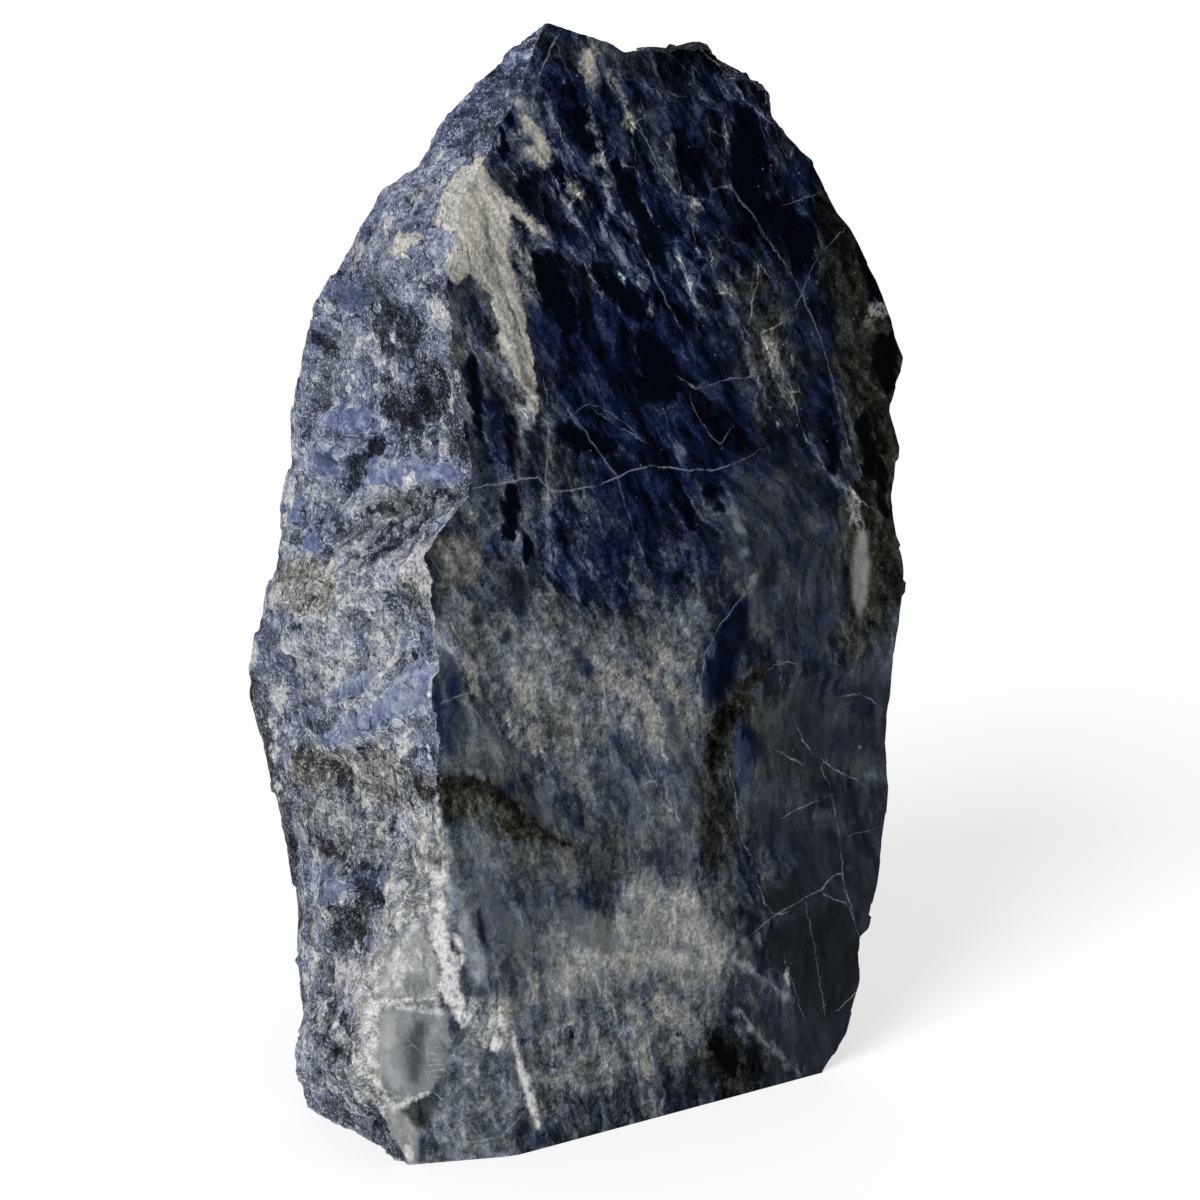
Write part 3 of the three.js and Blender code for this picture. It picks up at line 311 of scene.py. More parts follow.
# ---------------------------------------------------------------- what lies where on the left broken side
LEFT_GROUND = {
    "all over": ([], 1, (0.75, 0.6, 0.05, 0.52, 0.95, 0.5, 0.8)),
    "upper slope": ([[(5, 228, 6), (10, 219, 11), (21, 210, 10), (33, 200, 9)]], 8,
        (0.71, 0.72, 0, 0.5, 0.85, 1, 0.9)),
    "dark crest": ([[(2, 246, 5), (7.7, 232.6, 5), (3, 224, 2)]], 5, (0.6, 0.7, 0, 0.6, 0.6, 1, 0.4)),
    "blue shoulder": ([[(45.5, 189, 9), (49.8, 181.8, 7)]], 7, (0.66, 0.78, 0.03, 0.5, 0.8, 0.4, 0.8)),
    "dark hollow": ([[(26, 187, 5), (16, 188, 5), (11, 177, 6), (15, 169, 5), (24, 171, 5)]], 4,
        (0.52, 0.5, 0.05, 0.75, 0.95, 0.4, 0.9)),
    "pale knob": ([[(41.5, 180.9, 5), (49.7, 172.4, 4)]], 4, (0.77, 0.45, 0.05, 0.5, 0.9, 0.4, 0.9)),
    "slate strip": ([[(-1, 186, 2), (0, 179, 2.5), (2.4, 171, 3), (3.6, 163.5, 2.5)]], 1.5,
        (0.46, 0.45, 0.1, 0.4, 0.5, 0.4, 0.5)),
    "lavender band": ([[(6, 160, 3), (16, 157, 4), (26, 156, 4), (37, 158, 4), (43, 161, 5), (49, 153, 5)]], 4,
        (0.8, 0.8, 0, 0.5, 0.6, 0.5, 0.6)),
    "periwinkle": ([[(44, 163, 3.5), (32, 165, 3)], [(48, 153, 4)], [(53, 134, 3.5)], [(62, 138.5, 3)]], 2,
        (0.72, 0.9, 0, 0.44, 0.6, 0.5, 0.5)),
    "laminae": ([[(3, 156, 1.5), (14, 151, 4), (22, 145, 6), (30, 139, 6), (40, 133, 5)]], 3,
        (0.66, 0.3, 0.15, 0.6, 0.6, 1, 0.6)),
    "granular grey": ([[(22, 120, 8), (29, 122, 9), (45, 114, 9)]], 8, (0.86, 0.42, 0.1, 0.52, 1, 0.5, 0.8)),
    "crush": ([[(-3, 143, 4), (6, 136, 5)]], 4, (0.87, 0.15, 0.2, 0.5, 0.9, 0.4, 0.7)),
    "beige patch": ([[(66.9, 123), (54.5, 129.1), (38.5, 130.5), (33.9, 127.2), (39, 120.3), (53.6, 118.1),
        (66.6, 118.4)]], 2.5, (0.91, 0.06, 0.62, 0.46, 1, 0.2, 0.5)),
    "blue shelf": ([[(3, 114, 6), (11, 109, 6), (21, 103, 5), (31, 96, 4)]], 2.5,
        (0.82, 0.55, 0, 0.36, 0.6, 0.5, 0.5)),
    "left knob": ([[(68.8, 108), (62, 111), (60.7, 103), (63.7, 99), (68.3, 99.3), (70, 104)]], 1.5,
        (0.6, 0.6, 0, 0.4, 0.6, 0.4, 0.5)),
    "brown zone": ([[(60.9, 72.8), (43.1, 80.3), (28.7, 83.1), (11.8, 84.8), (3, 85.6), (6, 92), (20, 96), (38, 90),
        (58, 84)]], 3, (0.66, 0.1, 0.6, 0.8, 1, 0.4, 0.7)),
    "green shadow": ([[(4.9, 90.5, 3), (12, 88.2, 3)]], 2, (0.52, 0.05, 0.5, 0.5, 0.8, 0.4, 0.4)),
    "low grey": ([[(23, 77.4, 5), (35.7, 71.2, 7), (49.4, 66, 6)]], 5, (0.77, 0.15, 0.15, 0.6, 1, 0.4, 0.9)),
    "dark flakes": ([[(29, 54, 3), (22, 55, 4), (26, 47, 4)], [(47, 65, 3), (37, 65, 2)]], 4,
        (0.68, 0.16, 0.1, 0.6, 0.95, 0.4, 0.8)),
    "corner grey": ([[(2.3, 84.6, 4), (6.6, 71.9, 5), (5, 59.5, 6), (6.6, 45, 6), (8.6, 35.4, 4), (9.1, 22.7, 3)]], 3,
        (0.84, 0.04, 0.25, 0.45, 0.85, 0.2, 0.6)),
    "low slate": ([[(30, 33, 8), (17, 25, 8), (12, 16, 6), (37, 5, 8)]], 7, (0.72, 0.2, 0.1, 0.62, 0.95, 0.4, 0.8)),
    "foot slate": ([[(43.4, 4.7), (28.4, 7.9), (8.7, 12.9), (8, 4), (10, -4), (46, -4)]], 2.5,
        (0.58, 0.3, 0.05, 0.45, 0.8, 0.4, 0.6)),
    "turned sliver": ([[(71.4, 91.6, 4), (69.8, 82, 4), (64, 64, 5), (57, 42, 4), (57, 25, 4)]], 3,
        (0.45, 0.25, 0.2, 0.5, 0.6, 0.4, 0.4)),
}
LEFT_WHITE = [
    [(7.3, 193.8), (4.5, 195.9), (2.6, 195.2), (1.5, 192.7), (4, 190.8), (5.7, 191.2)],
    [(23.3, 205.8, 0.9), (22, 208.4, 1), (20.4, 211, 0.6)], [(37.2, 198.4, 0.8), (32.6, 201.4, 0.8)],
    [(14, 214.2, 0.3), (10.7, 216.9, 0.5), (7.2, 218.9, 0.3)],
    [(1.2, 180.8, 0.4), (4.8, 173.6, 0.6), (7.6, 163.7, 0.4)],
    [(7, 145.5), (-3, 143), (-3, 134.4), (2.7, 134.6), (8.7, 137.2), (13.8, 137.8), (8.9, 141.8)],
    [(2.5, 133.7, 0.6), (-1, 127.7, 0.7), (-1, 121, 0.6), (-1, 112.1, 0.5)],
    [(63.6, 97.4), (58.1, 98.9), (57.4, 95.5), (61.3, 91.4), (65.4, 89.5), (65.3, 93.3)],
    [(65.4, 89.3, 0.4), (65, 83.4, 0.6), (64, 75.2, 0.8), (63.9, 68.9, 0.9)],
    [(13.4, 100.4), (9.4, 103.2), (9.8, 98.1), (12.2, 96.3)], [(2.6, 86.2), (-3, 88.3), (-3, 80.1), (0.7, 77.5)],
    [(62.6, 121.3, 1.5), (64.7, 116.9, 1.8)], [(72, 104.8, 1.4), (70.8, 101, 1.4)],
    [(67.9, 142.6, 1.2), (64.1, 141.2, 1.6)], [(20.7, 152.3, 0.8), (18, 154.2, 1)],
    [(35.2, 40.4), (18.3, 46.7), (10.4, 42.5), (26.1, 37.6)],
    [(44.6, 61, 0.4), (43.4, 50.5, 0.5), (41.5, 41.1, 0.5), (46.2, 28.7, 0.3)],
]
LEFT_DARK = [
    [(-1, 198.8), (-1, 193.2), (1.2, 192.4), (1.4, 198.9)],
    [(31, 189.2), (25.2, 191.3), (21.5, 191.4), (21.5, 187.7), (23.6, 183.1), (26.8, 179.3), (29, 182.1),
     (30.8, 185.5)],
    [(20.3, 189.4), (10.7, 192.5), (9.4, 190), (12.1, 186.2), (15.4, 183.5), (19.3, 183.9)],
    [(13.7, 180.9), (3.3, 181.1), (6, 173.4), (13.8, 168.5), (17.8, 173)],
    [(25.6, 173.2), (14.9, 167.2), (8.9, 165.8), (18.9, 163.8), (27.4, 167.5)],
    [(43.3, 153.2), (32.3, 161.8), (29.5, 162), (37.4, 150.6), (43.2, 148.5)], [(51.6, 178.8, 1.6), (48.9, 177, 2)],
    [(58, 82, 1.6), (49, 83.1, 1.8), (42.8, 83.4, 1.6)], [(37.3, 81.5, 1.4), (31.5, 81.9, 1.4)],
    [(6.6, 90.4, 1.2), (1.7, 90.1, 1.4)], [(50.4, 62.2), (42.2, 67.7), (32.3, 65.3), (39.2, 62.3)],
    [(29.4, 53.7), (21.8, 57.9), (18.1, 50.4), (33.5, 44)],
    [(28.5, 66), (21.3, 67.3), (9.9, 64.2), (20.5, 55.2), (24, 61.3)],
    [(5.5, 155, 0.4), (13.8, 151.1, 0.7), (20.3, 146.3, 0.8), (26.4, 140.3, 0.5)],
    [(6.5, 152.2, 0.4), (14.1, 146.9, 0.6), (20.6, 140.7, 0.8), (27.9, 135.4, 0.4)],
    [(6, 156.2, 0.3), (16.8, 151.5, 0.5), (28.3, 146.9, 0.6), (40, 140.9, 0.4)], [(52.1, 115.8, 1.6)],
    [(57.3, 102, 1)], [(34, 28.2, 0.6), (17, 27, 1), (9.4, 20.7, 0.9), (8.2, 13.8, 0.6)],
    [(30, 32.9, 0.5), (20, 33.2, 0.9), (9.4, 33.5, 0.7), (9.4, 25, 0.4)],
    [(13.1, 118.6, 0.6), (5.1, 120.9, 0.7), (1.8, 122.5, 0.4)],
    [(18.5, 81.5, 0.4), (16.5, 80.3, 0.6), (18.8, 77.1, 0.4)],
]
LEFT_BLUE = [
    [(47.6, 165.2), (36.8, 167.4), (28.6, 165.5), (36.2, 161.1), (43.4, 160.2), (50, 162.3)],
    [(51.3, 156.1), (45.5, 158.2), (42.1, 156.6), (45, 151), (52, 147.9), (53.8, 150.2)],
    [(37.1, 155.7), (19.7, 159.1), (9.6, 161.1), (1.5, 160.2), (4.5, 156.8), (15.8, 153.5), (22.7, 152.1),
     (36.2, 150)],
    [(65.1, 140.9), (58.6, 142.4), (59.5, 135.3), (65.7, 135)],
    [(59.2, 133.5), (51.5, 137.2), (47.3, 133.7), (50.9, 130.4), (58.3, 131)],
    [(43.1, 192.8), (36.5, 194.9), (33.6, 193.2), (30.1, 192.6), (32.4, 190.1), (38.5, 186.9), (44.3, 187)],
    [(18.2, 192.6), (12.7, 193), (15, 190.8), (19.8, 190.3)],
    [(10.7, 116.1), (7.6, 117.8), (4.9, 119.9), (1.6, 120.5), (-3, 120.5), (-3, 111.7), (4, 110), (7.5, 107.5),
     (13.1, 103.5), (18, 100.3), (21.9, 97.3), (25.3, 96.3), (31.3, 92.6), (36.9, 90), (39.7, 90.4), (37.1, 93.6),
     (30.5, 97.4), (25.9, 102.8), (20.8, 104.8), (16.6, 107.7), (13.3, 111.3)],
    [(32, 107.9), (28.1, 111.5), (20.2, 113.8), (21, 109.8), (24.1, 106.7), (30.2, 104), (34.3, 101.6), (39.8, 101)],
    [(12.9, 122.1), (9, 124.9), (7.9, 122.3), (12.8, 119.4)],
    [(58.9, 88.2), (51.9, 93.9), (55.9, 88.5), (58.4, 86.1)], [(21, 81.1), (17.3, 81.4), (18.4, 78), (23, 77.9)],
    [(43.9, 62.2), (35.8, 64.2), (24.7, 62), (27.4, 57.3), (38.5, 53.6)],
    [(56, 66), (53, 65.6), (52.6, 59.7), (56.2, 58.9)],
]
LEFT_CREAM = [
    [(3.2, 224.6), (3.7, 222.9), (6.6, 220.8), (6.7, 218.7), (5.7, 216.6), (7.6, 213.6), (7.2, 212.7), (5, 210.2),
     (3.1, 209.6), (1.4, 210.5), (-3, 210.5), (-3, 222.9)],
    [(2.1, 204.6), (-3, 205.5), (-3, 201.3), (1.6, 202.4)],
    [(16.7, 207.7), (13.9, 208.5), (9.3, 208.9), (8.3, 208.2), (8.1, 206.9), (11.1, 205.7), (13.4, 204),
     (15.5, 202.5), (17.8, 203), (19, 204), (15.8, 205.3)],
]
LEFT_BROWN = [
    [(12.3, 138.2), (4.1, 136.6), (3.5, 132.1), (11.4, 130.9)],
    [(63, 123.5, 3), (51.1, 127.3, 3.5), (40.3, 125.8, 3), (50.6, 121.3, 3)], [(51.5, 77.9, 2), (40.5, 80.4, 2)],
    [(23.7, 91.1, 2), (20.5, 86.7, 2.4)], [(59.7, 82.6, 1.2)], [(44.5, 47.8, 1), (43.9, 42.4, 1)],
    [(16.6, 154.7), (9.3, 158.6), (8.3, 156.9), (15.3, 152.5)],
]

# Plates of stone that stand out of the left side or lie in it: their shape there and their height.
PLATES = [
    ([(3, 114, 5), (12, 109, 5), (21, 103, 4.5), (31, 96, 3.5), (37, 92, 2)], 1.2),
    ([(20, 110, 2.5), (28, 107, 3.5), (37, 103, 2)], 0.9), ([(36, 163.5, 3), (46, 163, 2.5)], 1),
    ([(46, 155, 3), (50, 151, 3)], 0.8), ([(8, 159.5, 1.5), (20, 156, 3), (34, 153, 2.5)], 0.7),
    ([(30, 160.5, 1.5), (36, 156, 3), (41, 151, 3)], -1.1), ([(26, 187, 4.5), (25, 183, 3)], -0.8),
    ([(11, 189.5, 2.5), (16, 187, 4)], -0.8), ([(8, 178, 4), (12, 172, 4)], -0.9),
    ([(12, 167, 2), (20, 168, 3.5)], -0.6), ([(10, 207, 2), (16, 205, 2)], 0.5), ([(62, 138.5, 3)], 0.6),
    ([(49, 134, 2.5), (56, 133, 2.5)], 0.6), ([(64, 104, 4)], 0.9), ([(30, 62, 3), (40, 59, 3)], 0.7),
    ([(24, 54, 3), (28, 50, 3)], -0.7), ([(14, 64, 3), (22, 60, 3)], -0.5), ([(14, 42, 3), (28, 40, 2)], 0.6),
    ([(60, 96, 3)], 0.6), ([(8, 160, 0.8), (12, 152, 1.8), (22, 144.5, 2), (40, 134, 1.4)], 0.7),
    ([(5, 149, 1.2), (16, 141, 1.6), (28, 133, 1.6)], 0.6),
]


# ---------------------------------------------------------------- numbers that shape and paint the stone
def smoothstep(low, high, value):
    t = np.clip((value - low) / (high - low), 0.0, 1.0)
    return t * t * (3.0 - 2.0 * t)


def cell_number(cell, seed):
    """A repeatable number from 0 to 1 for each cell of a lattice."""
    n = np.sin(cell[..., 0] * 127.1 + cell[..., 1] * 311.7 + cell[..., 2] * 74.7 + seed * 53.3) * 43758.5453
    return n - np.floor(n)


def swell(place, size, seed):
    """A slow rise and fall from -1 to 1."""
    p = place / size
    cell = np.floor(p)
    t = p - cell
    t = t * t * (3.0 - 2.0 * t)
    total = np.zeros(len(p))
    for corner in np.ndindex(2, 2, 2):
        weight = np.prod(np.where(np.array(corner) == 1, t, 1.0 - t), axis=1)
        total += weight * cell_number(cell + np.array(corner), seed)
    return 2.0 * total - 1.0


def cloudy(place, size, seed):
    """Four swells, each half as large and half as strong as the last."""
    return sum(0.5 ** (n + 1) * swell(place, size / 2**n, seed + n) for n in range(4))


def facets(place, size, seed):
    """Flat facets that meet in steps, from -1 to 1: each cell of stone breaks along its own tilted plane."""
    p = place / np.array(size, float)
    cell = np.floor(p)
    nearest = np.full(len(p), 1e9)
    level = np.zeros(len(p))
    for step in np.ndindex(3, 3, 3):
        here = cell + np.array(step) - 1.0
        number = [cell_number(here, seed + n) for n in range(8)]
        away = p - (here + np.stack(number[:3], axis=-1))
        distance = (away**2).sum(axis=1)
        tilt = 2.0 * np.stack(number[4:7], axis=-1) - 1.0
        height = 0.6 * (2.0 * number[7] - 1.0) + 1.2 * (away * tilt).sum(axis=1)
        closer = distance < nearest
        nearest = np.where(closer, distance, nearest)
        level = np.where(closer, height, level)
    return np.clip(level, -1.0, 1.0)


def lay_of(place):
    """Position across the stone's lay, the leaning sheets that its streaks and ledges follow."""
    x, y, z = place.T
    upper = smoothstep(*LEAN_CHANGE, z)
    steps, step = np.linspace(-20.0, 280.0, 601, retstep=True)
    slope = LOW_LEAN + (HIGH_LEAN - LOW_LEAN) * smoothstep(*LEAN_CHANGE, steps)
    lean = np.concatenate([[0.0], np.cumsum(0.5 * (slope[1:] + slope[:-1]) * step)])
    lay = (0.987 - 0.128 * upper) * x + (0.075 + 0.196 * upper) * y + np.interp(z, steps, lean)
    return lay + 2.4 * swell(place, 34.0, 5) + 1.2 * swell(place, 15.0, 6) + 0.4 * swell(place, 6.0, 7)


def along(across, up, start, end):
    """How far along the line from start to end each place lies, from 0 to 1, and its gap from it in mm."""
    dx, dz = end[0] - start[0], end[1] - start[1]
    x, z = across - start[0], up - start[1]
    t = np.clip((x * dx + z * dz) / max(dx * dx + dz * dz, 1e-9), 0.0, 1.0)
    return t, np.hypot(x - t * dx, z - t * dz)


def stroke(across, up, points):
    """Depth inside a tapered stroke in mm, below 0 outside it. Each point is (across, up, half width)."""
    best = np.full(len(across), -FAR)
    for start, end in zip(points, points[1:] or points):
        t, gap = along(across, up, start, end)
        best = np.maximum(best, start[2] + t * (end[2] - start[2]) - gap)
    return best


def outline(across, up, corners):
    """Depth inside an outline in mm, below 0 outside it. Each corner is (across, up)."""
    edge = np.full(len(across), FAR)
    inside = np.zeros(len(across), bool)
    for start, end in zip(corners, corners[1:] + corners[:1]):
        edge = np.minimum(edge, along(across, up, start, end)[1])
        crosses = (start[1] > up) != (end[1] > up)
        border = start[0] + (up - start[1]) * (end[0] - start[0]) / ((end[1] - start[1]) or 1.0)
        inside ^= crosses & (across < border)
    return np.where(inside, edge, -edge)


def deepest(across, up, shapes):
    """Depth inside the nearest of these shapes: an outline has (across, up) points, a stroke has three numbers."""
    best = np.full(len(across), -FAR)
    for points in shapes:
        depth = outline if len(points[0]) == 2 else stroke
        best = np.maximum(best, depth(across, up, points))
    return best


def beside(across, up, lines):
    """Signed distance in mm from the nearest of these lines, above 0 on one side of it and below 0 on the other."""
    nearest = np.full(len(across), FAR)
    signed = nearest.copy()
    for start, end in [pair for line in lines for pair in zip(line, line[1:])]:
        gap = along(across, up, start, end)[1]
        left = (end[0] - start[0]) * (up - start[1]) < (end[1] - start[1]) * (across - start[0])
        closer = gap < nearest
        nearest = np.where(closer, gap, nearest)
        signed = np.where(closer, np.where(left, -gap, gap), signed)
    return signed


# ---------------------------------------------------------------- the block
def only(obj):
    """Makes obj the one selected and active object."""
    bpy.ops.object.select_all(action="DESELECT")
    obj.select_set(True)
    bpy.context.view_layer.objects.active = obj


def mode(name):
    bpy.ops.object.mode_set(mode=name)


def applied(obj, kind, **settings):
    """Adds a modifier with these settings and applies it."""
    modifier = obj.modifiers.new(kind.lower(), kind)
    for name, value in settings.items():
        setattr(modifier, name, value)
    only(obj)
    bpy.ops.object.modifier_apply(modifier=modifier.name)


def read(items, name, wide=1, kind=np.float32):
    """One of the arrays that a mesh keeps for its vertices, edges, corners or faces."""
    values = np.empty(len(items) * wide, kind)
    items.foreach_get(name, values)
    return values.reshape(-1, wide) if wide > 1 else values


def places(mesh):
    """Where each vertex is, in mm from the front corner."""
    return read(mesh.vertices, "co", 3).astype(float) / MM - FRONT_CORNER


def directions(mesh):
    """The way each vertex looks."""
    return read(mesh.vertex_normals, "vector", 3).astype(float)


def move_to(mesh, place):
    mesh.vertices.foreach_set("co", ((place + FRONT_CORNER) * MM).astype(np.float32).ravel())
    mesh.update()


def grow(obj, ways, move):
    """Extrudes the faces that look one of these ways, in mm."""
    bpy.ops.mesh.select_all(action="DESELECT")
    mode("OBJECT")
    for polygon in obj.data.polygons:
        polygon.select = any(polygon.normal.dot(way) > 0.999 for way in ways)
    mode("EDIT")
    bpy.ops.mesh.select_mode(type="FACE")
    bpy.ops.mesh.extrude_region_move(TRANSFORM_OT_translate={"value": [part * MM for part in move]})


def grown_block():
    """The block before it is sawn: its broken sides carried on past the sawn faces, in one fine skin."""
    stone = bpy.data.objects.new("sodalite_block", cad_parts["sodalite"].data.copy())
    bpy.context.scene.collection.objects.link(stone)
    stone.data.materials.clear()
    only(stone)
    mode("EDIT")
    bpy.ops.mesh.select_all(action="SELECT")
    bpy.ops.mesh.remove_doubles(threshold=1e-6)
    corner = Vector((-CORNER_BACK, -1, -CORNER_RISE)).normalized()
    grow(stone, [Vector((0, -1, 0)), corner], (0, -SAW_MARGIN, 0))
    grow(stone, [Vector((0, 0, -1))], (0, 0, -SAW_MARGIN))
    mode("OBJECT")
    stone.data.remesh_voxel_size = SKIN * MM
    stone.data.use_remesh_fix_poles = False
    bpy.ops.object.voxel_remesh()
    applied(stone, "SMOOTH", factor=0.5, iterations=SOFTENING)
    stone.data.attributes.new("sawn", "FLOAT", "FACE")
    return stone


def left_side(place):
    """How much a place belongs to the left broken side, from 0 to 1."""
    x, y, z = place.T
    edge = -12.0 - 0.21 * y + 0.5 * np.maximum(z - 190.0, 0.0)
    return smoothstep(12.0, 4.0, x - edge) * smoothstep(84.0, 76.0, y)


def roughen(stone):
    """Breaks the skin into facets, plates and thin ledges that follow the lay."""
    mesh = stone.data
    place, way = places(mesh), directions(mesh)
    x, y, z = place.T
    lay = lay_of(place)
    turned = np.stack([lay, y, z], axis=-1)
    wild = 0.65 + 0.5 * smoothstep(-0.25, 0.35, cloudy(place, 40.0, 11))
    left = left_side(place)
    within = left * smoothstep(0.0, 6.0, y) * smoothstep(64.0, 52.0, y)
    height = 0.90 * wild * facets(turned, (7.5, 11.0, 12.0), 31)
    height += (0.18 + 0.30 * within) * wild * facets(turned, (3.8, 5.5, 6.5), 47)
    height += (0.07 + 0.14 * within) * facets(turned, (2.0, 2.6, 3.2), 59)
    height += 0.35 * cloudy(place, 9.0, 71)

    # Thin ledges: each sheet of the lay stands out a little further, then drops back to the next.
    ledge = lay / 4.2 + 0.8 * swell(place, 18.0, 83)
    sheet = ledge - np.floor(ledge)
    torn = smoothstep(0.0, 0.35, cloudy(place, 26.0, 91))
    height += 0.55 * torn * (sheet - 0.5 - smoothstep(0.86, 1.0, sheet))
    for points, rise in PLATES:
        inside = stroke(y, z, points) + 0.6 * swell(place, 5.0, 97)
        height += left * rise * smoothstep(-0.5, 0.5, inside)

    # The right shoulder, with its knob and its dip.
    crest = smoothstep(206.0, 218.0, z) * smoothstep(30.0, 40.0, x)
    height += 1.3 * crest * facets(place, (9.0, 9.0, 9.0), 101)
    rim = smoothstep(24.0, 10.0, y)
    height += 3.2 * rim * smoothstep(-3.5, 2.0, stroke(x, z, CREST_KNOB))
    height -= 1.8 * rim * smoothstep(-2.5, 1.0, stroke(x, z, CREST_DENT))

    # Calmer along the right arris, at the back of the left side and up its slope.
    height *= 1.0 - 0.5 * smoothstep(4.0, 0.0, y) * smoothstep(60.0, 80.0, x)
    height *= 1.0 - 0.45 * left * smoothstep(46.0, 60.0, y) * smoothstep(110.0, 90.0, z)
    height *= 1.0 - 0.50 * left * smoothstep(180.0, 196.0, z + 0.5 * y)
    move_to(mesh, place + way * height[:, None])


def honed_depth(x, z):
    """How far back the honed surface lies: flat, then falling back on the honed corner."""
    lean = -CORNER_BACK * x - CORNER_RISE * z
    eased = np.log1p(np.exp(np.minimum(lean, 30.0) / CORNER_EASE)) * CORNER_EASE
    return np.where(lean > 4.0, lean, eased)


def corner_break(x, z):
    """How much rougher the honed corner lies where it broke again after the honing, and how deep its window is."""
    broken = smoothstep(-0.6, 1.6, deepest(x, z, CORNER_BROKEN))
    window = smoothstep(-1.0, 2.0, deepest(x, z, CORNER_WINDOW))
    place = np.stack([x, honed_depth(x, z), z], axis=-1)
    rough = 0.85 * facets(place, (5.0, 5.0, 6.5), 131) + 0.35 * facets(place, (2.2, 2.2, 2.6), 137)
    return broken * (0.25 + rough + 0.5 * cloudy(place, 9.0, 141)) + 0.45 * window


def saw_block():
    """The stone that the saw leaves: a big block whose front is the honed surface, in a fine grid."""
    bpy.ops.object.select_all(action="DESELECT")
    cuts = {"x_subdivisions": int(SAW_WIDE / HONE_GRID), "y_subdivisions": int(SAW_TALL / HONE_GRID)}
    bpy.ops.mesh.primitive_grid_add(size=2.0, **cuts)
    block = bpy.context.object
    mode("EDIT")
    bpy.ops.mesh.select_all(action="SELECT")
    bpy.ops.transform.resize(value=(SAW_WIDE / 2 * MM, SAW_TALL / 2 * MM, 1.0))
    mode("OBJECT")
    mesh = block.data
    across, up, _ = read(mesh.vertices, "co", 3).T.astype(float) / MM
    across, up = across + SAW_WIDE / 2 + SAW_LEFT, up + SAW_TALL / 2
    up = np.where(up < 0.01, 0.0, up)
    depth = honed_depth(across, up) + corner_break(across, up)
    move_to(mesh, np.stack([across, depth, up], axis=-1))
    only(block)
    mode("EDIT")
    bpy.ops.mesh.select_all(action="SELECT")
    bpy.ops.mesh.extrude_region_move(TRANSFORM_OT_translate={"value": (0, SAW_DEEP * MM, 0)})
    bpy.ops.mesh.select_all(action="SELECT")
    bpy.ops.mesh.normals_make_consistent(inside=False)
    mode("OBJECT")
    sawn = mesh.attributes.new("sawn", "FLOAT", "FACE")
    sawn.data.foreach_set("value", np.ones(len(mesh.polygons), np.float32))
    return block


def saw(stone):
    """Saws and hones the front, the corner and the foot."""
    block = saw_block()
    applied(stone, "BOOLEAN", operation="INTERSECT", solver="MANIFOLD", object=block)
    bpy.data.objects.remove(block)
    stone.data.materials.clear()


def thin_out(stone):
    """Fewer faces on the back, the top and the right side, where the ground changes slowly."""
    far = stone.vertex_groups.new(name="far")
    place = places(stone.data)
    share = (1.0 - left_side(place)) * smoothstep(5.0, 9.0, place[:, 1]) * smoothstep(1.0, 3.0, place[:, 2])
    for n in np.nonzero(share > 0.5)[0]:
        far.add([int(n)], 1.0, "REPLACE")
    applied(stone, "DECIMATE", ratio=FAR_SHARE, vertex_group=far.name, vertex_group_factor=1.0)
    stone.vertex_groups.clear()


def clear_slivers(stone):
    """Takes out the few slivers that the saw leaves hanging on an edge, so that the skin is closed."""
    only(stone)
    mode("EDIT")
    bpy.ops.mesh.select_mode(type="EDGE")
    bpy.ops.mesh.select_all(action="DESELECT")
    bpy.ops.mesh.select_non_manifold(use_verts=False)
    bpy.ops.mesh.select_mode(type="FACE")
    bpy.ops.mesh.delete(type="FACE")
    mode("OBJECT")


# ---------------------------------------------------------------- what the stone is made of, point by point
def store(mesh, name, columns):
    """Keeps up to four numbers for each vertex, for the materials to read."""
    colour = np.zeros((len(mesh.vertices), 4), np.float32)
    for n, column in enumerate(columns):
        colour[:, n] = column
    mesh.attributes.new(name, "FLOAT_COLOR", "POINT").data.foreach_set("color", colour.ravel())


def depths(across, up, marks, share=1.0):
    """The depth inside each kind of mark, where this share of the place belongs to its side."""
    return [np.clip(deepest(across, up, shapes), -DEEP, DEEP) * share - DEEP * (1.0 - share) for shapes in marks]


def laid_ground(zones, across, up, place):
    """The make of the ground: each zone lies over the ones before it and ends softly."""
    (_, _, all_over), *rest = zones.values()
    ground = np.tile(np.array(all_over), (len(place), 1))
    for shapes, soft, make in rest:
        wander = (0.55 * soft + 0.8) * cloudy(place, 2.2 * soft + 6.0, len(shapes[0]) + soft)
        over = smoothstep(-soft, soft * 0.6, deepest(across, up, shapes) + wander)[:, None]
        ground = ground * (1.0 - over) + np.array(make) * over
    return ground


def wild_ground(place):
    """The make of the back and right sides, which no zone names."""
    cloud = [cloudy(place, size, seed) for size, seed in ((46.0, 201), (60.0, 211), (38.0, 221), (30.0, 231))]
    dark_rim = smoothstep(62.0, 84.0, place[:, 0]) * smoothstep(92.0, 112.0, place[:, 2])
    crest = smoothstep(196.0, 214.0, place[:, 2]) * smoothstep(26.0, 12.0, place[:, 1])
    tone = 0.50 + 0.42 * cloud[0] - 0.16 * dark_rim - 0.20 * crest
    blue = np.clip(0.62 + 0.9 * cloud[1], 0.0, 1.0) * (1.0 - 0.6 * dark_rim)
    warm = np.clip(0.25 + 0.8 * cloud[2] + 0.3 * dark_rim, 0.0, 1.0)
    rest = [0.55 + 0.3 * cloud[3], 0.75 + 0.3 * cloud[0], 0.4 + 0.4 * cloud[2], 0.6 + 0.3 * cloud[3]]
    return np.stack([tone, blue, warm] + rest, axis=-1)


